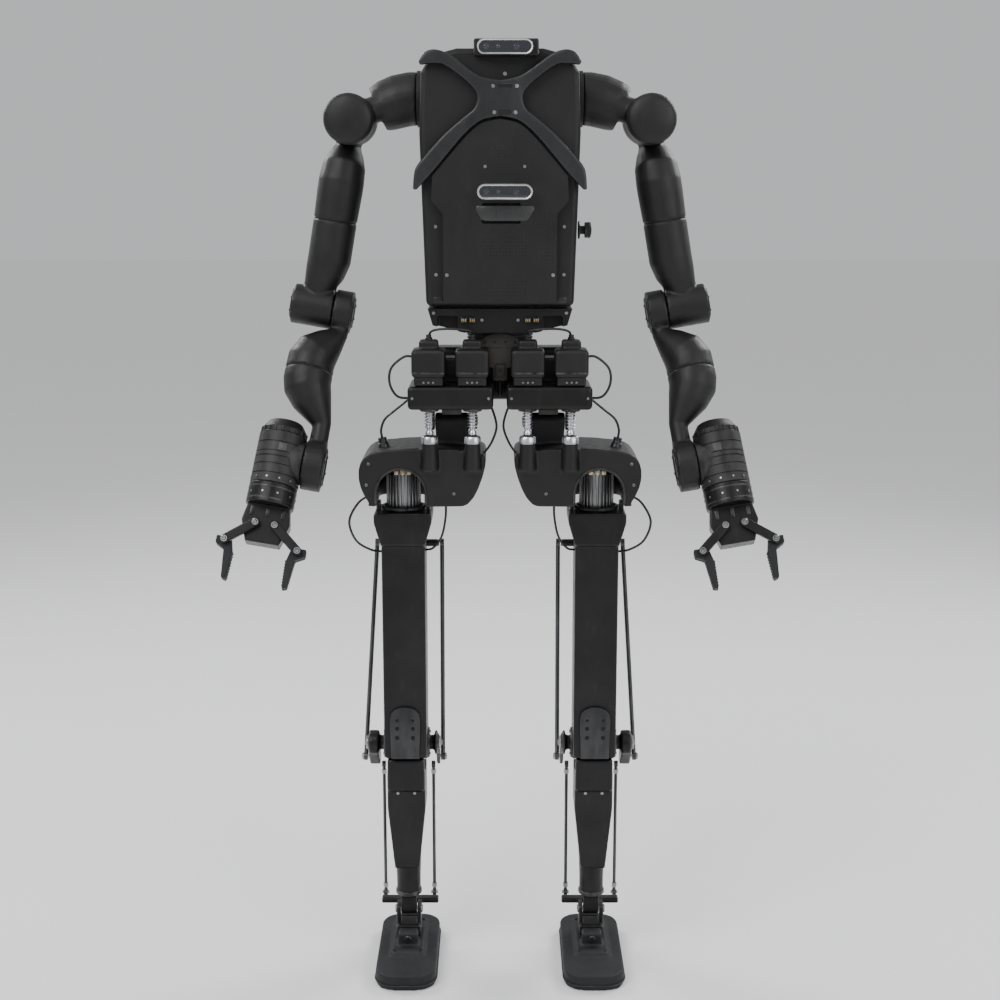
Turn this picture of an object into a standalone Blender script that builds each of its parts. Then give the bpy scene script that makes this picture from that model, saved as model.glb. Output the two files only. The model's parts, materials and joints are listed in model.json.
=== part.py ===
"""Headless humanoid robot kit: torso, two jointed arms with two-finger grippers, two rod-driven legs.

Metres. +Z is up, the robot faces -Y and its own left is +X. The floor is z = 0.
"""

import math

import bmesh
import bpy
from mathutils import Matrix, Vector

# Places of the joints, for the left side. The right side mirrors them.
CENTRE_Y = 0.06389  # shift that puts the origin under the middle of the object's box
WAIST = (0.0, 0.0, 1.150)
SHOULDER_PITCH = (0.137, 0.0, 1.538)
SHOULDER_ROLL = (0.250, 0.0, 1.504)
ARM_LEAN = math.radians(10)
TWIST_DROP = 0.168
ELBOW_DROP = 0.318
ELBOW_BEND = math.radians(26)
FOREARM_TWIST_DROP = 0.118
WRIST_DROP = 0.280
HAND_ROLL_DROP = 0.047
HAND_OFFSET = 0.020
KNUCKLE_UPPER = (0.016, -0.115)
KNUCKLE_LOWER = (0.060, -0.151)
HIP_X = 0.082
HIP_ROLL = (HIP_X, 0.0, 1.095)
HIP_PITCH = (HIP_X, -0.035, 1.000)
SCREW_SPACING = 0.036
SCREW_Y = -0.105
LEG_X = 0.168
HIP_YAW = (LEG_X, -0.015, 0.900)
KNEE = (LEG_X, 0.0, 0.408)
CRANK_PIN = (0.045, 0.365)
ROD_TOP = 0.768
ANKLE_PITCH = (LEG_X, 0.0, 0.085)
ANKLE_ROLL = (LEG_X, 0.0, 0.047)
STOP_BUTTON = (0.130, -0.030, 1.323)

# Main sizes.
FIT = 0.0005
ARM_RADIUS = 0.037
FOREARM_RADIUS = 0.041
ELBOW_RADIUS = 0.034
SHOULDER_RADIUS = 0.042
HAND_RADIUS = 0.040
TORSO_WALL = 0.005
TORSO_FRONT = -0.100
TORSO_BACK = 0.090
BRACE_FRONT = -0.118
CAMERA_LENGTH = 0.090
CAMERA_HEIGHT = 0.025
FLANGE_LOW, FLANGE_HIGH = 1.032, 1.071
THIGH_HALF_WIDTH = 0.038
THIGH_FRONT, THIGH_BACK = -0.055, 0.025
ROD_RADIUS = 0.004
FOOT_HALF_WIDTH = 0.054
FOOT_TOE, FOOT_HEEL = -0.150, 0.100
SOLE_TOP = 0.027
ROUND = 24

# Colour, roughness and metallic value of each finish.
SHELL_BLACK = ("shell_black", (0.030, 0.029, 0.031), 0.55, 0.0)
BRACE_BLACK = ("brace_black", (0.045, 0.046, 0.050), 0.45, 0.1)
FRAME_BLACK = ("frame_black", (0.035, 0.034, 0.036), 0.40, 0.6)
STEEL = ("steel", (0.60, 0.60, 0.62), 0.28, 1.0)
ROD_GREY = ("rod_grey", (0.13, 0.13, 0.14), 0.35, 0.8)
RUBBER = ("rubber", (0.022, 0.023, 0.026), 0.80, 0.0)
CAMERA_SILVER = ("camera_silver", (0.55, 0.55, 0.56), 0.30, 0.9)
BUTTON_BLACK = ("button_black", (0.020, 0.016, 0.020), 0.50, 0.0)

SIDES = (("left", 1), ("right", -1))


def clear_scene():
    for obj in list(bpy.data.objects):
        bpy.data.objects.remove(obj, do_unlink=True)


def new_collection(name, hidden=False):
    collection = bpy.data.collections.new(name)
    bpy.context.scene.collection.children.link(collection)
    collection.hide_render = hidden
    return collection


def material(finish):
    """The Principled material of a finish, made the first time it is asked for."""
    name, colour, roughness, metallic = finish
    found = bpy.data.materials.get(name)
    if found:
        return found
    made = bpy.data.materials.new(name)
    made.use_nodes = True
    shader = made.node_tree.nodes["Principled BSDF"]
    shader.inputs["Base Color"].default_value = (*colour, 1.0)
    shader.inputs["Roughness"].default_value = roughness
    shader.inputs["Metallic"].default_value = metallic
    return made


def object_of(bm, name):
    """A loose object of a bmesh. finish() gives it its place."""
    bmesh.ops.recalc_face_normals(bm, faces=bm.faces)
    mesh = bpy.data.meshes.new(name)
    bm.to_mesh(mesh)
    bm.free()
    return bpy.data.objects.new(name, mesh)


def box(x, y, z, bevel=0.0):
    """A box between two x, two y and two z values, with rounded edges."""
    bm = bmesh.new()
    bmesh.ops.create_cube(bm, size=1.0)
    low = Vector((min(x), min(y), min(z)))
    high = Vector((max(x), max(y), max(z)))
    for vert in bm.verts:
        vert.co = Vector(
            [(low[i] + high[i]) / 2 + vert.co[i] * (high[i] - low[i]) for i in range(3)]
        )
    if bevel:
        bmesh.ops.bevel(
            bm, geom=bm.edges[:], offset=bevel, segments=2, profile=0.5, affect="EDGES"
        )
    return object_of(bm, "box")


def cylinder(radius, start, end, sides=ROUND, end_radius=None):
    """A cylinder, or a cone with an end radius, between two points."""
    start, end = Vector(start), Vector(end)
    along = end - start
    bm = bmesh.new()
    turn = along.to_track_quat("Z", "Y").to_matrix().to_4x4()
    bmesh.ops.create_cone(
        bm,
        cap_ends=True,
        segments=sides,
        radius1=radius,
        radius2=radius if end_radius is None else end_radius,
        depth=along.length,
        matrix=Matrix.Translation((start + end) / 2) @ turn,
    )
    return object_of(bm, "cylinder")


def mesh_of_curve(curve, turn=None):
    """A curve's own surface as a mesh object, its caps welded to its sides."""
    holder = bpy.data.objects.new("curve", curve)
    bpy.context.scene.collection.objects.link(holder)
    bpy.context.view_layer.update()
    graph = bpy.context.evaluated_depsgraph_get()
    mesh = bpy.data.meshes.new_from_object(holder.evaluated_get(graph))
    bpy.data.objects.remove(holder, do_unlink=True)
    bm = bmesh.new()
    bm.from_mesh(mesh)
    bmesh.ops.remove_doubles(bm, verts=bm.verts, dist=0.00001)
    if turn is not None:
        bmesh.ops.transform(bm, matrix=turn, verts=bm.verts)
    return object_of(bm, "from_curve")


def limb(path, sides=ROUND):
    """A smooth tapering tube. Each point of the path is x, y, z and the radius there."""
    curve = bpy.data.curves.new("limb", "CURVE")
    curve.dimensions = "3D"
    curve.bevel_depth = 1.0
    curve.bevel_resolution = sides // 2 - 2
    curve.use_fill_caps = True
    spline = curve.splines.new("POLY")
    spline.points.add(len(path) - 1)
    for point, (x, y, z, radius) in zip(spline.points, path):
        point.co = (x, y, z, 1.0)
        point.radius = radius
    return mesh_of_curve(curve)


def plate(outline, span, facing="Y"):
    """A flat outline that fills the space between two values of the axis it faces.

    The outline holds x and z pairs where it faces Y, y and z pairs where it faces X, and x and y pairs
    where it faces Z.
    """
    curve = bpy.data.curves.new("plate", "CURVE")
    curve.dimensions = "2D"
    curve.fill_mode = "BOTH"
    curve.extrude = abs(span[1] - span[0]) / 2
    spline = curve.splines.new("POLY")
    spline.points.add(len(outline) - 1)
    for point, (across, up) in zip(spline.points, outline):
        point.co = (across, up, 0.0, 1.0)
    spline.use_cyclic_u = True
    turn = {
        "X": Matrix(((0, 0, 1, 0), (1, 0, 0, 0), (0, 1, 0, 0), (0, 0, 0, 1))),
        "Y": Matrix.Rotation(math.pi / 2, 4, "X"),
        "Z": Matrix.Identity(4),
    }[facing]
    middle = Vector([sum(span) / 2 if axis == facing else 0.0 for axis in "XYZ"])
    return mesh_of_curve(curve, Matrix.Translation(middle) @ turn)


def turned(profile, centre):
    """A piece turned about a vertical line. The profile is radius and height, from top to bottom."""
    mesh = bpy.data.meshes.new("turned")
    points = [(radius, 0.0, height) for radius, height in profile]
    mesh.from_pydata(points, [(i, i + 1) for i in range(len(points) - 1)], [])
    made = bpy.data.objects.new("turned", mesh)
    screw = made.modifiers.new("turn", "SCREW")
    screw.steps = screw.render_steps = 16
    screw.use_merge_vertices = True
    screw.merge_threshold = 0.00001
    bpy.context.scene.collection.objects.link(made)
    bpy.context.view_layer.update()
    graph = bpy.context.evaluated_depsgraph_get()
    solid = bpy.data.meshes.new_from_object(made.evaluated_get(graph))
    bpy.data.objects.remove(made, do_unlink=True)
    bm = bmesh.new()
    bm.from_mesh(solid)
    bmesh.ops.remove_doubles(bm, verts=bm.verts, dist=0.00001)
    bmesh.ops.translate(bm, verts=bm.verts, vec=Vector(centre))
    return object_of(bm, "turned")


def hold(obj, frame, in_world):
    """Parents an object to a joint's empty, its coordinates being the world's or the empty's own."""
    obj.parent = frame
    if in_world:
        obj.matrix_parent_inverse = Matrix(frame["world"]).inverted()


def finish(name, base, frame, look, add=(), cut=(), in_world=True):
    """Names a piece, gives it its place and finish, and adds or cuts the helper shapes."""
    base.name = name
    base.data.name = name
    PARTS.objects.link(base)
    hold(base, frame, in_world)
    base.data.materials.append(material(look))
    for operation, shapes in (("UNION", add), ("DIFFERENCE", cut)):
        for index, shape in enumerate(shapes):
            shape.name = f"{name}_{operation.lower()}_{index}"
            CUTTERS.objects.link(shape)
            hold(shape, frame, in_world)
            shape.hide_render = True
            shape.display_type = "WIRE"
            boolean = base.modifiers.new(shape.name, "BOOLEAN")
            boolean.operation = operation
            boolean.object = shape
    base.data.shade_smooth()
    base.data.set_sharp_from_angle(angle=math.radians(35))
    return base


def joint_frame(name, place, parent=None, turn=None):
    """An empty on a joint's axis. The place is in its parent's own coordinates, or the world's at the top."""
    empty = bpy.data.objects.new(name, None)
    PARTS.objects.link(empty)
    local = Matrix.Translation(Vector(place))
    if turn is not None:
        local = local @ turn
    above = Matrix(parent["world"]) if parent else Matrix.Identity(4)
    empty["world"] = [list(row) for row in above @ local]
    empty.parent = parent
    empty.matrix_basis = local
    return empty


def mirrored(side, place):
    return (side * place[0], place[1], place[2])


def from_joint(place, parent_place):
    return tuple(a - b for a, b in zip(place, parent_place))


def smoothed(knots, steps=2):
    """A line through the knots that turns smoothly at each, as Catmull and Rom draw it."""
    knots = [Vector(knot) for knot in knots]
    ends = [knots[0] * 2 - knots[1], *knots, knots[-1] * 2 - knots[-2]]
    line = []
    for a, b, c, d in zip(ends, ends[1:], ends[2:], ends[3:]):
        for step in range(steps):
            t = step / steps
            bend = (2 * a - 5 * b + 4 * c - d) * t**2 + (3 * b - a - 3 * c + d) * t**3
            line.append(tuple((2 * b + (c - a) * t + bend) / 2))
    return line + [tuple(knots[-1])]


def flipped(side, outline):
    return [(side * across, up) for across, up in outline]


# Torso ---------------------------------------------------------------------------------------


def torso_shell(frame):
    """The hollow casing, open at the bottom where the base frame closes it."""
    half = [(0.070, 1.612), (0.112, 1.601), (0.128, 1.575), (0.131, 1.480), (0.128, 1.380)]
    half += [(0.122, 1.200)]
    outline = half + [(-across, up) for across, up in reversed(half)]
    shell = plate(outline, (TORSO_FRONT, TORSO_BACK))
    bevel = shell.modifiers.new("round", "BEVEL")
    bevel.width = 0.014
    bevel.segments = 3
    bevel.limit_method = "ANGLE"
    bevel.angle_limit = math.radians(50)
    inner_x = 0.122 - TORSO_WALL - 0.006
    inner_y = (TORSO_FRONT + TORSO_WALL, TORSO_BACK - TORSO_WALL)
    hollow = box((-inner_x, inner_x), inner_y, (1.15, 1.58), 0.01)
    x, y, z = SHOULDER_PITCH
    bosses = [cylinder(0.046, (end * 0.110, y, z), (end * (x + 0.0010), y, z), 32) for end in (-1, 1)]
    finish("torso_shell", shell, frame, SHELL_BLACK, add=bosses, cut=[hollow])


def front_cover(frame):
    """The screwed-on middle panel, arched at the top to follow the brace."""
    arch = smoothed([(0.0, 1.501), (0.0245, 1.4965), (0.042, 1.486), (0.0655, 1.4625), (0.110, 1.411)])
    half = arch + [(0.112, 1.372), (0.093, 1.350), (0.093, 1.206)]
    outline = half + [(-across, up) for across, up in reversed(half[1:])]
    cover = plate(outline, (-0.1125, TORSO_FRONT - FIT))
    recess = box((-0.030, 0.034), (-0.120, -0.106), (1.335, 1.368), 0.003)
    finish("front_cover", cover, frame, SHELL_BLACK, cut=[recess])


def x_brace(frame):
    """The X-shaped strap: a V over the chest, an inverted V below it and the web between them."""
    top = [(0.0, 1.562), (0.031, 1.568), (0.056, 1.584), (0.084, 1.603), (0.106, 1.609)]
    top += [(0.121, 1.604), (0.130, 1.591)]
    waist = [(0.129, 1.585), (0.094, 1.587), (0.067, 1.570), (0.046, 1.553), (0.0375, 1.540)]
    waist += [(0.0375, 1.527), (0.043, 1.516), (0.053, 1.508), (0.088, 1.479), (0.123, 1.441)]
    waist += [(0.138, 1.421), (0.141, 1.390)]
    under = [(0.137, 1.388), (0.103, 1.424), (0.067, 1.4665), (0.043, 1.490), (0.025, 1.5005), (0.0, 1.505)]
    half = smoothed(top) + smoothed(waist) + smoothed(under)
    outline = half + [(-across, up) for across, up in reversed(half[1:-1])]
    finish("x_brace", plate(outline, (BRACE_FRONT, TORSO_FRONT - FIT)), frame, BRACE_BLACK)


def depth_camera(name, frame, x, z, front, back, add=()):
    """A bar-shaped stereo camera with round ends."""
    half = CAMERA_HEIGHT / 2
    reach = CAMERA_LENGTH / 2 - half
    ends = []
    for centre, first in ((x + reach, -90), (x - reach, 90)):
        for step in range(9):
            angle = math.radians(first + step * 22.5)
            ends.append((centre + half * math.cos(angle), z + half * math.sin(angle)))
    finish(name, plate(ends, (front, back)), frame, CAMERA_SILVER, add=add)


def head_camera(frame):
    mount = box((-0.042, 0.062), (-0.118, TORSO_FRONT - FIT), (1.5985, 1.6255), 0.003)
    depth_camera("head_camera", frame, 0.010, 1.612, -0.128, -0.110, add=[mount])


def chest_camera(frame):
    depth_camera("chest_camera", frame, 0.008, 1.386, -0.138, -0.1125 - FIT)


def base_frame(frame):
    """The open-cornered tray under the casing that carries the waist bearing."""
    outline = [(-0.120, 1.1955), (0.120, 1.1955), (0.112, 1.168), (0.060, 1.156)]
    outline += [(-0.060, 1.156), (-0.112, 1.168)]
    tray = plate(outline, (-0.090, 0.082))
    notches = []
    for end in (-1, 1):
        notches.append(box((end * 0.070, end * 0.104), (-0.120, -0.070), (1.140, 1.184), 0.003))
        notches.append(box((end * 0.070, end * 0.104), (0.062, 0.120), (1.140, 1.184), 0.003))
    finish("base_frame", tray, frame, FRAME_BLACK, cut=notches)


def stop_button(frame):
    x, y, z = STOP_BUTTON
    head = cylinder(0.013, (x + 0.012, y, z), (x + 0.022, y, z))
    stem = cylinder(0.007, (x + 0.0015, y, z), (x + 0.015, y, z))
    finish("stop_button", head, frame, BUTTON_BLACK, add=[stem])


def pelvis_frame(frame):
    """The cast hip bridge with its spine plate and the drum of the waist bearing."""
    bridge = box((-0.140, 0.140), (0.012, 0.070), (1.030, 1.122), 0.008)
    neck = box((-0.036, 0.036), (-0.045, 0.060), (1.095, 1.135), 0.006)
    drum = cylinder(0.055, (0, 0, 1.125), (0, 0, 1.1555), ROUND + 8)
    web = box((-0.004, 0.004), (-0.060, 0.030), (1.045, 1.110), 0.001)
    finish("pelvis_frame", bridge, frame, FRAME_BLACK, add=[neck, drum, web])


# Arms ----------------------------------------------------------------------------------------


def shoulder_link(side, name, frame):
    """The elbow-shaped tube from the torso to the front half of the shoulder drum."""
    x, _, z = SHOULDER_ROLL
    tube = limb(
        [
            (side * 0.1385, 0.0, 1.538, 0.044),
            (side * 0.150, 0.0, 1.538, 0.044),
            (side * 0.170, 0.0, 1.534, 0.044),
            (side * 0.190, 0.0, 1.527, 0.042),
            (side * 0.204, 0.0, 1.521, 0.038),
        ]
    )
    bridge = limb(
        [(side * 0.186, -0.020, 1.528, 0.022), (side * x, -0.0265, z, 0.0225)], sides=16
    )
    drum = cylinder(SHOULDER_RADIUS, (side * x, -0.050, z), (side * x, -0.0025, z), 32)
    finish(f"{name}_shoulder_link", tube, frame, SHELL_BLACK, add=[bridge, drum])


def upper_arm(side, name, frame):
    """The rear half of the shoulder drum and the top of the arm, down to the twist joint."""
    drum = cylinder(SHOULDER_RADIUS, (0, 0, 0), (0, 0.048, 0), 32)
    shaft = limb(
        [
            (0, 0.026, -0.015, 0.0215),
            (0, 0.026, -0.044, 0.0225),
            (0, 0.018, -0.060, 0.0300),
            (0, 0.006, -0.078, 0.0365),
            (0, 0.000, -0.102, 0.0385),
            (0, 0.000, -0.120, 0.0385),
            (0, 0.000, -TWIST_DROP, ARM_RADIUS),
        ]
    )
    finish(f"{name}_upper_arm", drum, frame, SHELL_BLACK, add=[shaft], in_world=False)


def elbow_link(side, name, frame):
    """The lower part of the upper arm with the outer drum of the elbow."""
    top = TWIST_DROP
    shaft = limb(
        [
            (0, 0, -FIT, ARM_RADIUS),
            (0, 0, top - 0.235, ARM_RADIUS),
            (side * 0.004, 0, top - 0.258, 0.034),
            (side * 0.010, 0, top - 0.280, 0.027),
            (side * 0.014, 0, top - 0.300, 0.022),
        ]
    )
    axis = top - ELBOW_DROP
    drum = cylinder(ELBOW_RADIUS, (-side * 0.020, 0, axis), (side * 0.050, 0, axis))
    finish(f"{name}_elbow_link", shaft, frame, SHELL_BLACK, add=[drum], in_world=False)


def forearm_upper(side, name, frame):
    """The inner disc of the elbow and the top of the forearm, down to its twist joint."""
    shaft = limb(
        [
            (-side * 0.0375, 0, -0.015, 0.0150),
            (-side * 0.0375, 0, -0.040, 0.0155),
            (-side * 0.024, 0, -0.060, 0.0275),
            (-side * 0.008, 0, -0.080, 0.0385),
            (0, 0, -0.098, FOREARM_RADIUS),
            (0, 0, -FOREARM_TWIST_DROP, FOREARM_RADIUS),
        ]
    )
    disc = cylinder(0.036, (-side * 0.053, 0, 0), (-side * 0.0215, 0, 0))
    finish(f"{name}_forearm_upper", shaft, frame, SHELL_BLACK, add=[disc], in_world=False)


def forearm_lower(side, name, frame):
    """The lower forearm, which narrows to the inner disc of the wrist."""
    top = FOREARM_TWIST_DROP
    shaft = limb(
        [
            (0, 0, -FIT, FOREARM_RADIUS),
            (0, 0, -0.014, FOREARM_RADIUS),
            (-side * 0.003, 0, top - 0.147, FOREARM_RADIUS - 0.001),
            (-side * 0.015, 0, top - 0.168, 0.034),
            (-side * 0.0385, 0, top - 0.207, 0.0160),
            (-side * 0.0385, 0, top - 0.260, 0.0160),
        ]
    )
    axis = top - WRIST_DROP
    disc = cylinder(SHOULDER_RADIUS, (-side * 0.055, 0, axis), (-side * 0.022, 0, axis))
    finish(f"{name}_forearm_lower", shaft, frame, SHELL_BLACK, add=[disc], in_world=False)


def wrist_module(side, name, frame):
    """The upright wrist motor, held on its side against the forearm's disc."""
    x = side * HAND_OFFSET
    can = cylinder(HAND_RADIUS, (x, 0, -HAND_ROLL_DROP), (x, 0, 0.052), 32)
    crown = cylinder(HAND_RADIUS, (x, 0, 0.045), (x, 0, 0.066), 32, end_radius=0.026)
    hub = cylinder(0.036, (-side * 0.0215, 0, 0), (x, 0, 0))
    finish(f"{name}_wrist_module", can, frame, SHELL_BLACK, add=[crown, hub], in_world=False)


def gripper_base(side, name, frame):
    """The turning flange and the palm that the finger cranks hinge on."""
    low = HAND_ROLL_DROP - 0.082
    flange = cylinder(HAND_RADIUS, (0, 0, -FIT), (0, 0, low), 32)
    palm_outline = [(-0.034, low + 0.004), (0.034, low + 0.004), (0.040, -0.064), (0.028, -0.099)]
    palm_outline += [(-0.028, -0.099), (-0.040, -0.064)]
    palm = plate(palm_outline, (-0.012, 0.022))
    finish(f"{name}_gripper_base", flange, frame, FRAME_BLACK, add=[palm], in_world=False)


def round_ended(start, end, half_width, steps=6):
    """The outline of a bar with round ends, as x and z pairs."""
    start, end = Vector(start), Vector(end)
    along = math.atan2(end.y - start.y, end.x - start.x)
    outline = []
    for centre, first in ((end, along - math.pi / 2), (start, along + math.pi / 2)):
        for step in range(steps + 1):
            angle = first + math.pi * step / steps
            offset = Vector((math.cos(angle), math.sin(angle))) * half_width
            outline.append(tuple(centre + offset))
    return outline


def finger_crank(hand, name, frame):
    """The bar from the palm's pivot to the fingertip's pivot. The frame is on the palm's pivot."""
    reach = (
        hand * (KNUCKLE_LOWER[0] - KNUCKLE_UPPER[0]),
        KNUCKLE_LOWER[1] - KNUCKLE_UPPER[1],
    )
    bar = plate(round_ended((0, 0), reach, 0.0075), (-0.021, -0.012 - FIT))
    finish(f"{name}_crank", bar, frame, FRAME_BLACK, in_world=False)


def fingertip(hand, name, frame):
    """The finger's jaw, which hangs from the end of its crank. The frame is on that pivot."""
    outline = [(0.014, 0.006), (0.014, -0.006), (-0.001, -0.014), (-0.006, -0.062)]
    outline += [(-0.014, -0.064), (-0.016, -0.020), (-0.010, 0.006)]
    jaw = plate(flipped(hand, outline), (-0.012, 0.012))
    finish(f"{name}_tip", jaw, frame, RUBBER, in_world=False)


# Legs ----------------------------------------------------------------------------------------


def hip_carrier(side, name, frame):
    """The thick flange that holds both linear motors, with the ears of the hip pitch axle."""
    x = side * HIP_X
    flange = box((x - 0.071, x + 0.071), (-0.135, -0.012), (FLANGE_LOW, FLANGE_HIGH), 0.006)
    spine = box((x - 0.028, x + 0.028), (-0.060, -0.010), (FLANGE_LOW + 0.01, 1.111), 0.004)
    hub = cylinder(0.014, (x, -0.020, HIP_ROLL[2]), (x, 0.012 - FIT, HIP_ROLL[2]))
    _, y, z = HIP_PITCH
    ears = []
    for ear in (-1, 1):
        inside, outside = x + ear * 0.030, x + ear * 0.040
        ears.append(box((inside, outside), (y - 0.016, y + 0.016), (z - 0.006, FLANGE_LOW + 0.008)))
        ears.append(cylinder(0.016, (inside, y, z), (outside, y, z)))
    bores = []
    for screw in (-1, 1):
        at = x + screw * SCREW_SPACING
        bores.append(cylinder(0.0105, (at, SCREW_Y, 1.02), (at, SCREW_Y, 1.09), 16))
    finish(f"{name}_hip_carrier", flange, frame, FRAME_BLACK, add=[spine, hub, *ears], cut=bores)


def hip_motor(side, name, screw, label, frame):
    """One upright linear-actuator motor, bored for its ball screw."""
    x = side * HIP_X + side * screw * SCREW_SPACING
    low = FLANGE_HIGH + FIT
    body = box((x - 0.028, x + 0.028), (-0.138, -0.080), (low + 0.014, 1.132), 0.006)
    seat = box((x - 0.024, x + 0.024), (-0.132, -0.084), (low, low + 0.020), 0.002)
    cap = box((x - 0.016, x + 0.016), (-0.120, -0.088), (1.126, 1.146), 0.004)
    bore = cylinder(0.0105, (x, SCREW_Y, 1.060), (x, SCREW_Y, 1.108), 16)
    finish(f"{name}_hip_motor_{label}", body, frame, SHELL_BLACK, add=[seat, cap], cut=[bore])


def ball_screw(side, name, screw, label, frame):
    """A threaded rod with a ball end, turned from one profile."""
    x = side * HIP_X + side * screw * SCREW_SPACING
    profile = [(0.0, 1.066), (0.0065, 1.066)]
    for thread in range(7):
        top = 1.058 - thread * 0.009
        profile += [(0.0065, top), (0.0088, top - 0.002), (0.0088, top - 0.004)]
        profile += [(0.0065, top - 0.006)]
    profile += [(0.0045, 0.9975), (0.0045, 0.9935), (0.0070, 0.9885), (0.0045, 0.9835)]
    profile += [(0.0, 0.9820)]
    finish(f"{name}_ball_screw_{label}", turned(profile, (x, SCREW_Y, 0)), frame, STEEL)


def hip_housing(side, name, frame):
    """The wing-shaped hip casing, arched in front for the knee motor."""
    outline = [(0.044, 0.958), (0.120, 0.963), (0.200, 0.958), (0.228, 0.948), (0.239, 0.925)]
    outline += [(0.236, 0.895), (0.222, 0.868), (0.212, 0.862), (0.085, 0.862), (0.055, 0.866)]
    outline += [(0.037, 0.892), (0.025, 0.930), (0.026, 0.950)]
    wing = plate(flipped(side, smoothed(outline + outline[:1])[:-1]), (-0.100, 0.036))
    bevel = wing.modifiers.new("round", "BEVEL")
    bevel.width = 0.012
    bevel.segments = 3
    bevel.limit_method = "ANGLE"
    bevel.angle_limit = math.radians(50)
    x = side * HIP_X
    _, y, z = HIP_PITCH
    lug = box((x - 0.028, x + 0.028), (y - 0.014, y + 0.014), (0.950, z))
    knuckle = cylinder(0.015, (x - 0.029, y, z), (x + 0.029, y, z))
    seats = []
    for screw in (-1, 1):
        at = x + screw * SCREW_SPACING
        seats.append(cylinder(0.0150, (at, SCREW_Y, 0.925), (at, SCREW_Y, 0.9785), end_radius=0.0125))
    yaw_x, yaw_y, _ = mirrored(side, HIP_YAW)
    well = cylinder(0.043, (yaw_x, yaw_y, 0.84), (yaw_x, yaw_y, 0.926), 32)
    arch = cylinder(0.041, (yaw_x, -0.20, 0.885), (yaw_x, yaw_y, 0.885), 32)
    mouth = box((yaw_x - 0.041, yaw_x + 0.041), (-0.20, yaw_y), (0.84, 0.885))
    finish(
        f"{name}_hip_housing",
        wing,
        frame,
        SHELL_BLACK,
        add=[lug, knuckle, *seats],
        cut=[well, arch, mouth],
    )


def knee_motor(side, name, frame):
    """The finned motor that stands on the thigh inside the arch of the hip casing."""
    x, y, _ = mirrored(side, HIP_YAW)
    fins = 16
    outline = []
    for step in range(fins * 4):
        radius = 0.036 if step % 4 < 2 else 0.030
        angle = 2 * math.pi * (step + 0.5) / (fins * 4)
        outline.append((radius * math.cos(angle), radius * math.sin(angle)))
    can = plate([(x + across, y + along) for across, along in outline], (0.843, 0.907), "Z")
    top = cylinder(0.024, (x, y, 0.905), (x, y, 0.920))
    finish(f"{name}_knee_motor", can, frame, STEEL, add=[top])


def thigh_beam(side, name, frame):
    """The thigh: a flange under the motor, a box beam and the fork of the knee."""
    x, _, z = mirrored(side, KNEE)
    w = THIGH_HALF_WIDTH
    across = (x - w, x + w)
    beam = box(across, (THIGH_FRONT, THIGH_BACK), (z + 0.038, 0.800), 0.004)
    neck = [(-0.050, 0.8425), (0.050, 0.8425), (0.050, 0.826), (w, 0.785), (-w, 0.785), (-0.050, 0.826)]
    collar = plate([(x + across_x, up) for across_x, up in neck], (-0.062, 0.030))
    skirt = box(across, (THIGH_FRONT, THIGH_FRONT + 0.018), (z - 0.012, z + 0.050), 0.004)
    lug = box((x - 0.020, x + 0.020), (0.018, 0.049), (ROD_TOP - 0.010, ROD_TOP + 0.010), 0.002)
    low, high = sorted((side * 0.0470, -side * 0.0590))
    bar = cylinder(0.007, (x + low, CRANK_PIN[0], ROD_TOP), (x + high, CRANK_PIN[0], ROD_TOP), 16)
    cheeks = []
    for cheek in (-1, 1):
        inside, outside = x + cheek * 0.028, x + cheek * w
        cheeks.append(box((inside, outside), (-0.030, 0.025), (z, z + 0.050)))
        cheeks.append(cylinder(0.030, (inside, 0, z), (outside, 0, z)))
    axle_hole = cylinder(0.0145, (x - 0.06, 0, z), (x + 0.06, 0, z))
    finish(
        f"{name}_thigh_beam",
        beam,
        frame,
        FRAME_BLACK,
        add=[collar, skirt, lug, bar, *cheeks],
        cut=[axle_hole],
    )


def rod(name, start, end, radius, frame, look=ROD_GREY):
    """A push rod with a rod-end eye at each end."""
    bar = cylinder(radius, start, end, 12)
    eyes = []
    for x, y, z in (start, end):
        eyes.append(cylinder(radius * 1.9, (x - 0.0035, y, z), (x + 0.0035, y, z), 16))
    finish(name, bar, frame, look, add=eyes)


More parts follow.
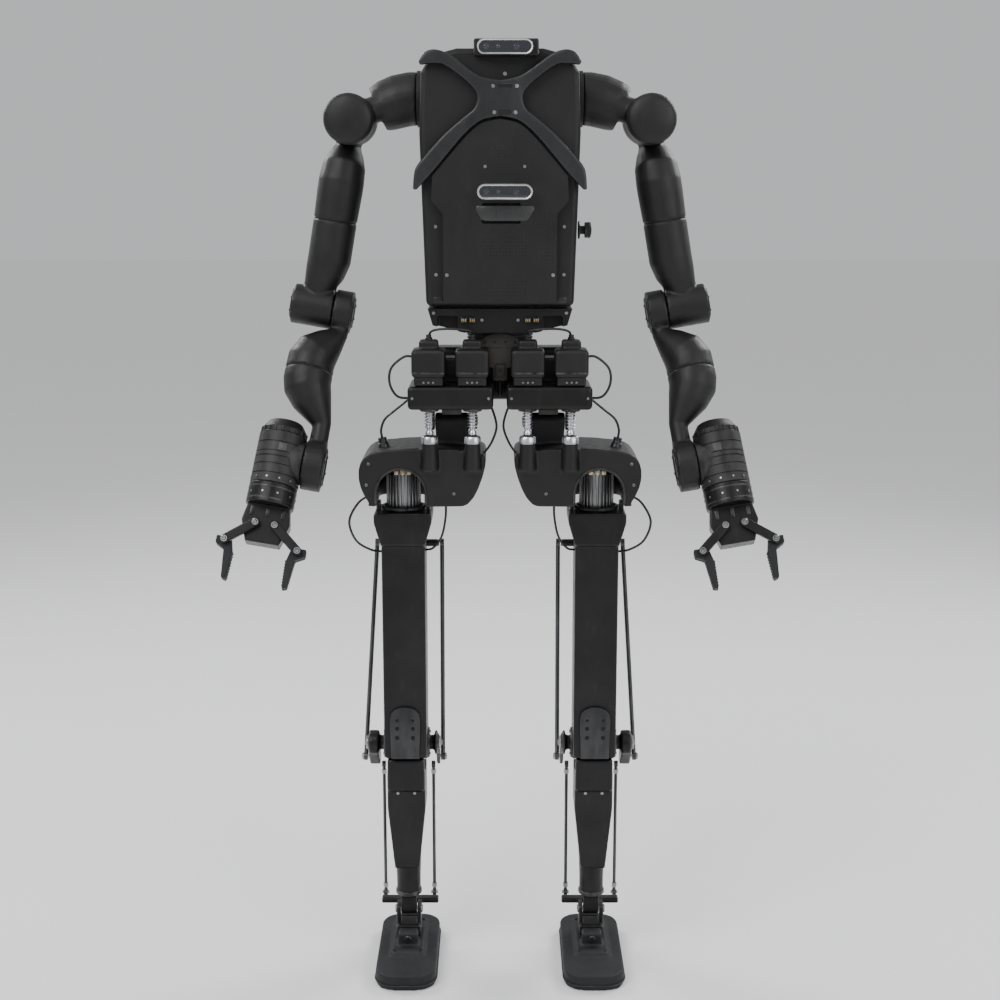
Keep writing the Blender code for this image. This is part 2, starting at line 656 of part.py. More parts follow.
def shin(side, name, frame):
    """The lower leg with the knee knuckle, its axle and the crank at each end of the axle."""
    x, _, z = mirrored(side, KNEE)
    leg = limb(
        [
            (x, -0.006, z - 0.020, 0.020),
            (x, -0.008, z - 0.066, 0.030),
            (x, -0.010, z - 0.150, 0.028),
            (x, -0.004, z - 0.210, 0.024),
            (x, 0.000, 0.150, 0.022),
            (x, 0.000, 0.116, 0.022),
        ]
    )
    taper = [(-0.034, z - 0.040), (0.034, z - 0.040), (0.034, z - 0.110), (0.022, z - 0.225)]
    taper += [(-0.022, z - 0.225), (-0.034, z - 0.110)]
    shell = plate([(x + across, up) for across, up in taper], (-0.046, 0.024))
    lip = box((x - 0.033, x + 0.033), (-0.053, -0.035), (z - 0.075, z - 0.015), 0.004)
    knuckle = cylinder(0.030, (x - 0.0265, 0, z), (x + 0.0265, 0, z))
    axle = cylinder(0.0130, (x - 0.055, 0, z), (x + 0.055, 0, z))
    lug = box((x - 0.0145, x + 0.0145), (-0.010, 0.010), (ANKLE_PITCH[2], 0.122))
    lug_end = cylinder(0.010, (x - 0.0145, 0, ANKLE_PITCH[2]), (x + 0.0145, 0, ANKLE_PITCH[2]), 16)
    cranks = []
    pin_y, pin_z = CRANK_PIN
    for end, inside, outside in ((side, 0.052, 0.071), (-side, 0.052, 0.058)):
        span = (x + end * inside, x + end * outside)
        cranks.append(plate(round_ended((0, z), (pin_y, pin_z), 0.015), span, "X"))
        cranks.append(cylinder(0.022, (x + end * 0.050, 0, z), (x + end * (outside - 0.003), 0, z)))
    finish(
        f"{name}_shin",
        leg,
        frame,
        FRAME_BLACK,
        add=[shell, lip, knuckle, axle, lug, lug_end, *cranks],
    )


def ankle_cross(side, name, frame):
    """The yoke between the pitch and roll axles, with the bar that the push rods work on."""
    x, _, z = mirrored(side, ANKLE_PITCH)
    base = box((x - 0.022, x + 0.022), (-0.020, 0.020), (0.038, 0.060), 0.003)
    pieces = []
    for cheek in (-1, 1):
        inside, outside = x + cheek * 0.0155, x + cheek * 0.0225
        pieces.append(box((inside, outside), (-0.014, 0.014), (0.050, z + 0.010), 0.002))
        pieces.append(box((inside, outside), (0.005, 0.044), (z - 0.004, z + 0.004)))
    pieces.append(box((x - 0.053, x + 0.053), (0.030, 0.048), (z - 0.005, z + 0.005), 0.002))
    finish(f"{name}_ankle_cross", base, frame, FRAME_BLACK, add=pieces)


def foot(side, name, frame):
    """The flat foot with the two posts of the ankle roll axle."""
    x = side * LEG_X
    w = FOOT_HALF_WIDTH
    corner = 0.036
    outline = []
    for cx, cy, first in (
        (x + w - corner, FOOT_TOE + corner, -90),
        (x + w - corner, FOOT_HEEL - corner, 0),
        (x - w + corner, FOOT_HEEL - corner, 90),
        (x - w + corner, FOOT_TOE + corner, 180),
    ):
        for step in range(6):
            angle = math.radians(first + step * 18)
            outline.append((cx + corner * math.cos(angle), cy + corner * math.sin(angle)))
    sole = plate(outline, (0, SOLE_TOP), "Z")
    posts = []
    for low, high in ((-0.048, -0.0215), (0.0215, 0.046)):
        posts.append(box((x - 0.018, x + 0.018), (low, high), (0.020, 0.058), 0.003))
    instep = box((x - 0.030, x + 0.030), (-0.075, 0.070), (0.018, 0.034), 0.004)
    finish(f"{name}_foot", sole, frame, RUBBER, add=[instep, *posts])


# Assembly ------------------------------------------------------------------------------------


def torso():
    frame = joint_frame("waist", WAIST)
    torso_shell(frame)
    front_cover(frame)
    x_brace(frame)
    head_camera(frame)
    chest_camera(frame)
    base_frame(frame)
    stop_button(joint_frame("stop_button_slide", from_joint(STOP_BUTTON, WAIST), frame))
    return frame


def arm(name, side, torso_frame):
    pitch = joint_frame(
        f"{name}_shoulder_pitch", from_joint(mirrored(side, SHOULDER_PITCH), WAIST), torso_frame
    )
    shoulder_link(side, name, pitch)
    reach = from_joint(mirrored(side, SHOULDER_ROLL), mirrored(side, SHOULDER_PITCH))
    lean = Matrix.Rotation(-side * ARM_LEAN, 4, "Y")
    roll = joint_frame(f"{name}_shoulder_roll", reach, pitch, lean)
    upper_arm(side, name, roll)
    twist = joint_frame(f"{name}_upper_arm_twist", (0, 0, -TWIST_DROP), roll)
    elbow_link(side, name, twist)
    bend = Matrix.Rotation(-ELBOW_BEND, 4, "X")
    elbow = joint_frame(f"{name}_elbow", (0, 0, TWIST_DROP - ELBOW_DROP), twist, bend)
    forearm_upper(side, name, elbow)
    forearm = joint_frame(f"{name}_forearm_twist", (0, 0, -FOREARM_TWIST_DROP), elbow)
    forearm_lower(side, name, forearm)
    wrist = joint_frame(f"{name}_wrist", (0, 0, FOREARM_TWIST_DROP - WRIST_DROP), forearm)
    wrist_module(side, name, wrist)
    hand = joint_frame(f"{name}_hand_roll", (side * HAND_OFFSET, 0, -HAND_ROLL_DROP), wrist)
    gripper_base(side, name, hand)
    for label, finger in (("outer", side), ("inner", -side)):
        finger_name = f"{name}_finger_{label}"
        upper = (finger * KNUCKLE_UPPER[0], 0, KNUCKLE_UPPER[1] + HAND_ROLL_DROP)
        knuckle = joint_frame(f"{finger_name}_knuckle", upper, hand)
        finger_crank(finger, finger_name, knuckle)
        lower = (
            finger * (KNUCKLE_LOWER[0] - KNUCKLE_UPPER[0]),
            0,
            KNUCKLE_LOWER[1] - KNUCKLE_UPPER[1],
        )
        fingertip(finger, finger_name, joint_frame(f"{finger_name}_tip_pivot", lower, knuckle))


def leg(name, side, pelvis):
    roll_place = mirrored(side, HIP_ROLL)
    roll = joint_frame(f"{name}_hip_roll", roll_place, pelvis)
    hip_carrier(side, name, roll)
    for screw, label in ((1, "outer"), (-1, "inner")):
        hip_motor(side, name, screw, label, roll)
        ball_screw(side, name, screw, label, roll)
    pitch_place = mirrored(side, HIP_PITCH)
    pitch = joint_frame(f"{name}_hip_pitch", from_joint(pitch_place, roll_place), roll)
    hip_housing(side, name, pitch)
    yaw_place = mirrored(side, HIP_YAW)
    yaw = joint_frame(f"{name}_hip_yaw", from_joint(yaw_place, pitch_place), pitch)
    knee_motor(side, name, yaw)
    thigh_beam(side, name, yaw)
    knee_place = mirrored(side, KNEE)
    knee = joint_frame(f"{name}_knee", from_joint(knee_place, yaw_place), yaw)
    shin(side, name, knee)
    pin = (knee_place[0], *CRANK_PIN)
    rods = joint_frame(f"{name}_crank_pin", from_joint(pin, knee_place), knee)
    x = knee_place[0]
    outer = [(x + side * 0.052, CRANK_PIN[0], ROD_TOP), (x + side * 0.0790, *CRANK_PIN)]
    inner = [(x - side * 0.064, CRANK_PIN[0], ROD_TOP), (x - side * 0.0630, *CRANK_PIN)]
    rod(f"{name}_thigh_rod_outer", *outer, ROD_RADIUS, rods)
    rod(f"{name}_thigh_rod_inner", *inner, ROD_RADIUS, rods)
    ankle_place = mirrored(side, ANKLE_PITCH)
    ankle = joint_frame(f"{name}_ankle_pitch", from_joint(ankle_place, knee_place), knee)
    ankle_cross(side, name, ankle)
    for label, end in (("outer", side), ("inner", -side)):
        at = x + end * 0.0455
        rod(f"{name}_shin_rod_{label}", (at, 0.039, 0.352), (at, 0.039, 0.0995), 0.003, knee)
    sole = joint_frame(
        f"{name}_ankle_roll", from_joint(mirrored(side, ANKLE_ROLL), ankle_place), ankle
    )
    foot(side, name, sole)


def build():
    pelvis = joint_frame("pelvis", (0, 0, 0))
    pelvis_frame(pelvis)
    chest = torso()
    for name, side in SIDES:
        arm(name, side, chest)
        leg(name, side, pelvis)
    for top in (pelvis, chest):
        top.location.y += CENTRE_Y


clear_scene()
PARTS = new_collection("humanoid_robot_kit")
CUTTERS = new_collection("cutters", hidden=True)
build()
bpy.context.view_layer.update()
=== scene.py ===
"""Looks of the headless humanoid robot kit: finishes, fasteners, cables, camera and light round the CAD frame."""

import json
import math
from collections import namedtuple

import bmesh
import bpy
from mathutils import Matrix, Vector


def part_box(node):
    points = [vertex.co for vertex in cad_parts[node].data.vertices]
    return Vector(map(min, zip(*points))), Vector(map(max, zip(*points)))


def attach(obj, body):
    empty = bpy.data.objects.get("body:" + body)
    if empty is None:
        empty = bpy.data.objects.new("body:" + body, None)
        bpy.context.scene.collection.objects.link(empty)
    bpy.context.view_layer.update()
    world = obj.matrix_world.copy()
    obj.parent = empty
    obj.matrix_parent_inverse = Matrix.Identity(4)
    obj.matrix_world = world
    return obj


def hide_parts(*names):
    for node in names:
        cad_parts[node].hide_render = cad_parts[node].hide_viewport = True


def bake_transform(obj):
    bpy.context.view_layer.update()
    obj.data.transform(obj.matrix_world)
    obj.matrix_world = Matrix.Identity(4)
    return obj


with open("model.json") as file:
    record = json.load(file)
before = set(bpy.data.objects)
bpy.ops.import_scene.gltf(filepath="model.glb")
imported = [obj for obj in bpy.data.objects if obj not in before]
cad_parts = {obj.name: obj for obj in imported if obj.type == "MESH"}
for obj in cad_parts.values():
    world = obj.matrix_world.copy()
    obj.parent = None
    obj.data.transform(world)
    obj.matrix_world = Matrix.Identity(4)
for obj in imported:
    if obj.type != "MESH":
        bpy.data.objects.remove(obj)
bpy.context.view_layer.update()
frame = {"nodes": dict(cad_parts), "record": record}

Extent = namedtuple("Extent", "x0 y0 z0 x1 y1 z1")
RECORD = frame["record"]
JOINTS = {joint["name"]: joint for joint in RECORD["behaviour"]["joints"]}
BODY_OF = {node: body for body, nodes in RECORD["behaviour"]["bodies"].items() for node in nodes}
SIDES = (("left", 1), ("right", -1))
MID_Y = JOINTS["waist_yaw"]["pos_m"][1]  # front-back place of the waist, hip roll and ankle axes
# turns that stand a flat outline up, facing the robot's front or its back
FRONT = Matrix(((1, 0, 0, 0), (0, 0, -1, 0), (0, 1, 0, 0), (0, 0, 0, 1)))
BACK = Matrix(((-1, 0, 0, 0), (0, 0, 1, 0), (0, 1, 0, 0), (0, 0, 0, 1)))
CAMERA_SHIFT = 0.008  # both depth cameras and the brace's bolts sit this far to the robot's left
FLANGE_UNDER, FLANGE_OVER = 1.032, 1.071  # heights of the hip flange's two faces
HAND_RADIUS = 0.040


def extent(node):
    low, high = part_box(node)
    return Extent(*low, *high)


def pivot(joint):
    return Vector(JOINTS[joint]["pos_m"])


def axis(joint):
    return Vector(JOINTS[joint]["axis"])


# Finishes ------------------------------------------------------------------------------------


class Graph:
    """Short names for building one material's nodes."""

    def __init__(self, name):
        self.material = bpy.data.materials.new(name)
        self.material.use_nodes = True
        self.tree = self.material.node_tree
        self.shader = self.tree.nodes["Principled BSDF"]
        self.coords = self.node("ShaderNodeTexCoord").outputs["Object"]

    def node(self, kind, **values):
        made = self.tree.nodes.new(kind)
        for key, value in values.items():
            if key.startswith("_"):
                setattr(made, key[1:], value)
                continue
            socket = made.inputs[key.replace("__", " ")]
            if isinstance(value, bpy.types.NodeSocket):
                self.tree.links.new(value, socket)
            else:
                socket.default_value = value
        return made

    def noise(self, size, detail=3.0, stretch=(1, 1, 1)):
        """Noise whose features are about that many metres across."""
        mapped = self.node("ShaderNodeMapping", Vector=self.coords, Scale=stretch)
        made = self.node("ShaderNodeTexNoise", Vector=mapped.outputs[0], Scale=1 / size, Detail=detail)
        return made.outputs["Fac"]

    def ramp(self, value, low, high, out_low=0.0, out_high=1.0):
        made = self.node(
            "ShaderNodeMapRange",
            **{"Value": value, "From__Min": low, "From__Max": high, "To__Min": out_low, "To__Max": out_high},
        )
        return made.outputs[0]

    def multiply(self, a, b):
        made = self.node("ShaderNodeMath", _operation="MULTIPLY")
        self.tree.links.new(a, made.inputs[0])
        self.tree.links.new(b, made.inputs[1])
        return made.outputs[0]

    def blend(self, factor, a, b):
        made = self.node("ShaderNodeMix", _data_type="RGBA")
        self.tree.links.new(factor, made.inputs["Factor"])
        for socket, value in ((made.inputs[6], a), (made.inputs[7], b)):
            if isinstance(value, bpy.types.NodeSocket):
                self.tree.links.new(value, socket)
            else:
                socket.default_value = (*value, 1.0)
        return made.outputs[2]

    def set(self, socket, value):
        if isinstance(value, bpy.types.NodeSocket):
            self.tree.links.new(value, self.shader.inputs[socket])
        else:
            self.shader.inputs[socket].default_value = value

    def bump(self, height, distance, strength, below=None):
        made = self.node("ShaderNodeBump", Height=height, Distance=distance, Strength=strength)
        if below is not None:
            self.tree.links.new(below, made.inputs["Normal"])
        return made.outputs[0]


def shaded(colour, factor):
    return tuple(channel * factor for channel in colour)


def finish(name, colour, roughness, metallic=0.0, grain=0.0006, relief=0.35, worn=None, brush=None, gloss=0.5):
    """A finish with blotches a hand wide, fine grain, scuffs and, on request, bright worn edges."""
    graph = Graph(name)
    blotch = graph.noise(0.06, 4.0)
    smudge = graph.noise(0.012, 5.0, (1, 1, 0.35))
    fine = graph.noise(grain, 2.0, brush or (1, 1, 1))
    shade = graph.blend(graph.ramp(blotch, 0.3, 0.7), shaded(colour, 0.78), shaded(colour, 1.28))
    scuff = graph.ramp(smudge, 0.60, 0.74)
    shade = graph.blend(graph.multiply(scuff, blotch), shade, shaded(colour, 1.9))
    if worn:
        edge = graph.ramp(graph.node("ShaderNodeNewGeometry").outputs["Pointiness"], 0.53, 0.60)
        shade = graph.blend(graph.multiply(edge, graph.ramp(smudge, 0.35, 0.6)), shade, worn)
    graph.set("Base Color", shade)
    rough = graph.ramp(smudge, 0.25, 0.75, roughness - 0.07, roughness + 0.09)
    graph.set("Roughness", rough)
    graph.set("Metallic", metallic)
    graph.set("Specular IOR Level", gloss)
    micro = graph.bump(fine, grain * 0.5, relief)
    graph.set("Normal", graph.bump(smudge, 0.0004, 0.12, micro))
    return graph.material


def glass(name, colour):
    graph = Graph(name)
    film = graph.noise(0.004, 4.0)
    graph.set("Base Color", graph.blend(film, shaded(colour, 0.7), shaded(colour, 1.6)))
    graph.set("Roughness", graph.ramp(film, 0.3, 0.8, 0.03, 0.12))
    graph.set("Normal", graph.bump(film, 0.0001, 0.05))
    graph.shader.inputs["Coat Weight"].default_value = 0.8
    return graph.material


SHELL = finish("textured_shell", (0.0075, 0.0072, 0.0077), 0.47, worn=(0.040, 0.039, 0.040), gloss=0.34)
SHELL_FLAT = finish("textured_panel", (0.0080, 0.0077, 0.0082), 0.52, gloss=0.32)
BRACE = finish("satin_brace", (0.0120, 0.0122, 0.0135), 0.38, worn=(0.050, 0.051, 0.054), gloss=0.42)
FRAME = finish("anodised_frame", (0.0130, 0.0125, 0.0132), 0.36, 0.5, 0.0003, worn=(0.11, 0.11, 0.112), gloss=0.4)
FRAME_FLAT = finish("anodised_flat", (0.0135, 0.0130, 0.0137), 0.38, 0.5, 0.0003, gloss=0.4)
STEEL = finish("machined_steel", (0.52, 0.52, 0.54), 0.27, 1.0, 0.0004, 0.2, brush=(1, 1, 0.1))
BOLT = finish("bolt_steel", (0.30, 0.30, 0.31), 0.32, 1.0, 0.0003, 0.2)
DARK_BOLT = finish("black_oxide", (0.045, 0.045, 0.048), 0.36, 0.9, 0.0003, 0.2)
ROD = finish("rod_tube", (0.075, 0.075, 0.080), 0.33, 0.85, 0.0004, 0.2, brush=(1, 1, 0.05))
FINS = finish("cast_fins", (0.30, 0.30, 0.305), 0.36, 0.95, 0.0005, 0.3)
WORN_RUBBER = (0.030, 0.031, 0.034)
RUBBER = finish("foot_rubber", (0.0085, 0.0088, 0.0100), 0.60, 0.0, 0.0009, 0.5, worn=WORN_RUBBER, gloss=0.35)
CABLE = finish("cable_jacket", (0.009, 0.009, 0.0095), 0.42, 0.0, 0.0005, 0.25)
SILVER = finish("camera_case", (0.55, 0.55, 0.56), 0.30, 0.9, 0.0003, 0.15)
GREY = finish("grey_casting", (0.055, 0.051, 0.047), 0.46, 0.3, 0.0006, 0.4)
BADGE = finish("blank_badge", (0.026, 0.026, 0.027), 0.30, 0.0, 0.0004, 0.15)
BRASS = finish("gilt_contact", (0.62, 0.42, 0.13), 0.30, 1.0, 0.0003, 0.2)
IVORY = finish("connector_nylon", (0.62, 0.59, 0.50), 0.45, 0.0, 0.0005, 0.2)
# Near-black stand-in for the shade inside holes, slots and joint gaps: painted shade, not a part's own colour.
PAINTED_SHADE = finish("hole_black", (0.0025, 0.0025, 0.0028), 0.85, 0.0, 0.0006, 0.3)
GLASS = glass("dark_glass", (0.008, 0.009, 0.012))
LENS = glass("lens_glass", (0.016, 0.018, 0.045))


def dress(node, look):
    """Gives a CAD node that stays in view its finish."""
    data = frame["nodes"][node].data
    data.materials.clear()
    data.materials.append(look)


# Shapes --------------------------------------------------------------------------------------


def facing(point, normal):
    """A place whose own Z axis points along the normal."""
    turn = Vector(normal).to_track_quat("Z", "Y").to_matrix().to_4x4()
    return Matrix.Translation(Vector(point)) @ turn


def ahead(x, y, z):
    """A place whose own Z axis points to the robot's front."""
    return facing((x, y, z), (0, -1, 0))


def above(x, y, z):
    """A place whose own Z axis points up, turned as facing() turns it."""
    return facing((x, y, z), (0, 0, 1))


def at(x, y, z):
    return Matrix.Translation((x, y, z))


def placed(point, x_axis, z_axis):
    x_axis, z_axis = Vector(x_axis).normalized(), Vector(z_axis).normalized()
    y_axis = z_axis.cross(x_axis)
    turn = Matrix((x_axis, y_axis, z_axis)).transposed().to_4x4()
    return Matrix.Translation(Vector(point)) @ turn


def shifted(place, x=0.0, y=0.0, z=0.0):
    return place @ Matrix.Translation(Vector((x, y, z)))


def rings(bm, loops, closed=False):
    """Joins loops of vertices, one after the other. A loop of one vertex is a tip."""
    pairs = list(zip(loops, loops[1:]))
    if closed:
        pairs.append((loops[-1], loops[0]))
    for first, second in pairs:
        count = max(len(first), len(second))
        for step in range(count):
            after = (step + 1) % count
            corners = [first[step % len(first)], first[after % len(first)]]
            corners += [second[after % len(second)], second[step % len(second)]]
            unique = list(dict.fromkeys(corners))
            if len(unique) > 2:
                bm.faces.new(unique)


def lathe(bm, profile, place, sides=32, closed=False):
    """Turns (radius, height) points about the place's Z axis. A closed profile makes a ring."""
    loops = []
    for radius, height in profile:
        if radius <= 0:
            loops.append([bm.verts.new(place @ Vector((0, 0, height)))])
            continue
        loop = []
        for step in range(sides):
            angle = 2 * math.pi * step / sides
            point = Vector((radius * math.cos(angle), radius * math.sin(angle), height))
            loop.append(bm.verts.new(place @ point))
        loops.append(loop)
    rings(bm, loops, closed)


def disc(bm, place, radius, height, chamfer=0.0006, sides=28):
    """A plain round cap with a chamfered rim."""
    profile = [(0, 0), (radius, 0), (radius, height - chamfer), (radius - chamfer, height), (0, height)]
    lathe(bm, profile, place, sides)


def hoop(bm, place, radius, width, depth, sides=40):
    """A raised band round the place's Z axis, with softened edges."""
    half, soft = width / 2, min(width, depth) * 0.3
    profile = [(radius - depth, -half), (radius - soft, -half), (radius, soft - half)]
    profile += [(radius, half - soft), (radius - soft, half), (radius - depth, half)]
    lathe(bm, profile, place, sides, closed=True)


def bolt(bm, place, radius, height):
    """A socket-head bolt: a chamfered head with a six-sided socket."""
    sides = 18
    chamfer = radius * 0.18

    def ring(size, level, hexagon=False):
        loop = []
        for step in range(sides):
            angle = 2 * math.pi * step / sides
            reach = size
            if hexagon:
                reach *= math.cos(math.pi / 6) / math.cos(angle % (math.pi / 3) - math.pi / 6)
            point = Vector((reach * math.cos(angle), reach * math.sin(angle), level))
            loop.append(bm.verts.new(place @ point))
        return loop

    socket = radius * 0.55
    loops = [[bm.verts.new(place @ Vector((0, 0, -height * 0.2)))], ring(radius, -height * 0.2)]
    loops += [ring(radius, height - chamfer), ring(radius - chamfer, height)]
    loops += [ring(socket, height, True), ring(socket, height * 0.4, True)]
    loops.append([bm.verts.new(place @ Vector((0, 0, height * 0.4)))])
    rings(bm, loops)


def slab(bm, size, place, bevel=0.001, segments=2):
    """A block with rounded edges, centred on the place."""
    part = bmesh.new()
    bmesh.ops.create_cube(part, size=1.0)
    for vert in part.verts:
        vert.co = Vector([vert.co[i] * size[i] for i in range(3)])
    bmesh.ops.bevel(part, geom=part.edges[:], offset=bevel, segments=segments, profile=0.5, affect="EDGES")
    add(bm, part, place)


def prism(bm, outline, thickness, place, bevel=0.001):
    """A flat outline in the place's XY plane, raised by the thickness, with rounded edges."""
    part = bmesh.new()
    low = [part.verts.new((x, y, 0)) for x, y in outline]
    face = part.faces.new(low)
    raised = bmesh.ops.extrude_face_region(part, geom=[face])
    for item in raised["geom"]:
        if isinstance(item, bmesh.types.BMVert):
            item.co.z = thickness
    bmesh.ops.recalc_face_normals(part, faces=part.faces)
    if bevel:
        sharp = [edge for edge in part.edges if edge.calc_face_angle(0) > math.radians(50)]
        bmesh.ops.bevel(part, geom=sharp, offset=bevel, segments=2, profile=0.5, affect="EDGES")
    add(bm, part, place)


def add(bm, part, place):
    mesh = bpy.data.meshes.new("part")
    bmesh.ops.transform(part, matrix=place, verts=part.verts)
    part.to_mesh(mesh)
    part.free()
    bm.from_mesh(mesh)
    bpy.data.meshes.remove(mesh)


def sweep(bm, points, radius, sides=10, closed=False):
    """A round bar along a line of points, its section carried along without twisting."""
    points = [Vector(point) for point in points]
    count = len(points)
    loops = []
    across = None
    for index, point in enumerate(points):
        before = points[index - 1] if index or closed else point
        after = points[(index + 1) % count] if index + 1 < count or closed else point
        along = (after - before).normalized()
        if across is None:
            across = along.orthogonal().normalized()
        across = (across - along * across.dot(along)).normalized()
        other = along.cross(across)
        loop = []
        for step in range(sides):
            angle = 2 * math.pi * step / sides
            offset = across * math.cos(angle) + other * math.sin(angle)
            loop.append(bm.verts.new(point + offset * radius))
        loops.append(loop)
    rings(bm, loops, closed)
    if not closed:
        bm.faces.new(list(reversed(loops[0])))
        bm.faces.new(loops[-1])


def curved(knots, steps=8):
    """A smooth line through the knots, as Catmull and Rom draw it."""
    knots = [Vector(knot) for knot in knots]
    ends = [knots[0] * 2 - knots[1], *knots, knots[-1] * 2 - knots[-2]]
    line = []
    for a, b, c, d in zip(ends, ends[1:], ends[2:], ends[3:]):
        for step in range(steps):
            t = step / steps
            line.append(
                0.5 * (2 * b + (c - a) * t + (2 * a - 5 * b + 4 * c - d) * t**2 + (3 * b - a - 3 * c + d) * t**3)
            )
    line.append(knots[-1])
    return line


def rounded_bar(half_length, radius, steps=10):
    """The outline of a bar with half-round ends, in its own XY plane."""
    outline = []
    for centre, first in ((half_length - radius, -90), (radius - half_length, 90)):
        for step in range(steps + 1):
            angle = math.radians(first + 180 * step / steps)
            outline.append((centre + radius * math.cos(angle), radius * math.sin(angle)))
    return outline


def rounded_plate(half, low, high, corner, steps):
    """An outline whose corners are arcs about (+-half, low) and (+-half, high)."""
    outline = []
    for x, y, first in ((half, high, 0), (-half, high, 90), (-half, low, 180), (half, low, 270)):
        for step in range(steps):
            angle = math.radians(first + 90 * step / (steps - 1))
            outline.append((x + corner * math.cos(angle), y + corner * math.sin(angle)))
    return outline


def piece(name, bm, look, body, angle=40):
    """Makes the bmesh an object that rides a body."""
    bmesh.ops.recalc_face_normals(bm, faces=bm.faces)
    mesh = bpy.data.meshes.new(name)
    bm.to_mesh(mesh)
    bm.free()
    mesh.materials.append(look)
    mesh.shade_smooth()
    mesh.set_sharp_from_angle(angle=math.radians(angle))
    made = bpy.data.objects.new(name, mesh)
    bpy.context.scene.collection.objects.link(made)
    if body:
        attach(made, body)
    return made


def soft_copy(node, look, voxel=0.0022, passes=6):
    """A finely meshed copy of a CAD node with its corners and joins softened, which stands for it."""
    source = frame["nodes"][node]
    mesh = source.data.copy()
    mesh.materials.clear()
    mesh.materials.append(look)
    made = bpy.data.objects.new(f"{node}_moulding", mesh)
    bpy.context.scene.collection.objects.link(made)
    remesh = made.modifiers.new("even", "REMESH")
    remesh.mode = "VOXEL"
    remesh.voxel_size = voxel
    relax = made.modifiers.new("relax", "SMOOTH")
    relax.iterations = passes
    relax.factor = 0.5
    bpy.context.view_layer.update()
    graph = bpy.context.evaluated_depsgraph_get()
    final = bpy.data.meshes.new_from_object(made.evaluated_get(graph))
    made.modifiers.clear()
    made.data = final
    final.shade_smooth()
    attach(made, BODY_OF[node])
    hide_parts(node)
    return made


# Torso ---------------------------------------------------------------------------------------


def torso_fasteners():
    """Screws on the cover, the casing and the brace, all with bright rims."""
    cover, shell, brace = extent("front_cover"), extent("torso_shell"), extent("x_brace")
    bm = bmesh.new()
    for x in (-0.087, 0.087):
        bolt(bm, ahead(x, cover.y0, 1.252), 0.0030, 0.0014)
    for x in (-0.032, 0.032):
        bolt(bm, ahead(x + CAMERA_SHIFT, cover.y0, 1.426), 0.0028, 0.0014)
    for x in (-0.105, 0.105):
        for z in (1.252, 1.330):
            bolt(bm, ahead(x, shell.y0, z), 0.0030, 0.0014)
    for x, z in ((0.0, 1.571), (-0.019, 1.552), (0.019, 1.552), (-0.017, 1.511), (0.017, 1.511)):
        bolt(bm, ahead(x + CAMERA_SHIFT, brace.y0, z), 0.0032, 0.0015)
    for x in (-0.090, 0.090):
        for z in (1.235, 1.520):
            bolt(bm, facing((x, shell.y1 + 0.0025, z), (0, 1, 0)), 0.0034, 0.0016)
    piece("torso_screws", bm, BOLT, "torso")


def vent_holes():
    """Rows of small round vents in the cover."""
    face = extent("front_cover").y0
    fields = (
        (CAMERA_SHIFT - 0.016, CAMERA_SHIFT + 0.016, 1.442, 1.456, 8, 4),
        (CAMERA_SHIFT - 0.034, CAMERA_SHIFT + 0.034, 1.284, 1.312, 14, 6),
        (CAMERA_SHIFT - 0.034, CAMERA_SHIFT + 0.034, 1.220, 1.242, 14, 5),
        (0.068, 0.086, 1.272, 1.352, 4, 15),
    )
    rims, holes = bmesh.new(), bmesh.new()
    for low_x, high_x, low_z, high_z, columns, rows in fields:
        for column in range(columns):
            for row in range(rows):
                x = low_x + (high_x - low_x) * column / (columns - 1)
                z = low_z + (high_z - low_z) * row / (rows - 1)
                place = ahead(x, face, z)
                # Each vent is a near-black disc at the cover's face, painted shade of the hole's inside, ringed by a
                # rim.
                lathe(holes, [(0, 0.0001), (0.0011, 0.0001), (0.0011, -0.0008), (0, -0.0008)], place, 8)
                lathe(
                    rims,
                    [(0.0010, -0.0004), (0.0010, 0.0003), (0.0015, 0.0001), (0.0015, -0.0004)],
                    place,
                    8,
                    closed=True,
                )
    piece("cover_vent_rims", rims, SHELL_FLAT, "torso")
    piece("cover_vent_holes", holes, PAINTED_SHADE, "torso")


def camera_front(name, node, middle_z, half_length, radius):
    """The bezel, dark window and three lenses of a bar-shaped stereo camera."""
    face = extent(node).y0
    place = at(CAMERA_SHIFT, face, middle_z) @ FRONT
    window = bmesh.new()
    prism(window, rounded_bar(half_length - 0.0035, radius - 0.0035), 0.0008, place, 0.0003)
    piece(f"{name}_window", window, GLASS, "torso")
    rim = bmesh.new()
    line = [place @ Vector((x, y, 0.0004)) for x, y in rounded_bar(half_length - 0.0018, radius - 0.0018)]
    sweep(rim, line, 0.0015, 8, closed=True)
    piece(f"{name}_rim", rim, SILVER, "torso")
    barrels, lenses = bmesh.new(), bmesh.new()
    for offset, size in ((-0.030, 0.0048), (-0.011, 0.0036), (0.018, 0.0050)):
        spot = shifted(place, x=offset)
        hoop(barrels, shifted(spot, z=0.0012), size, 0.0012, 0.0010, 24)
        dome = [(0, 0.0004), (size * 0.8, 0.0004), (size * 0.75, 0.0011), (size * 0.4, 0.0016), (0, 0.0018)]
        lathe(lenses, dome, spot, 20)
    piece(f"{name}_barrels", barrels, GREY, "torso")
    piece(f"{name}_lenses", lenses, LENS, "torso")


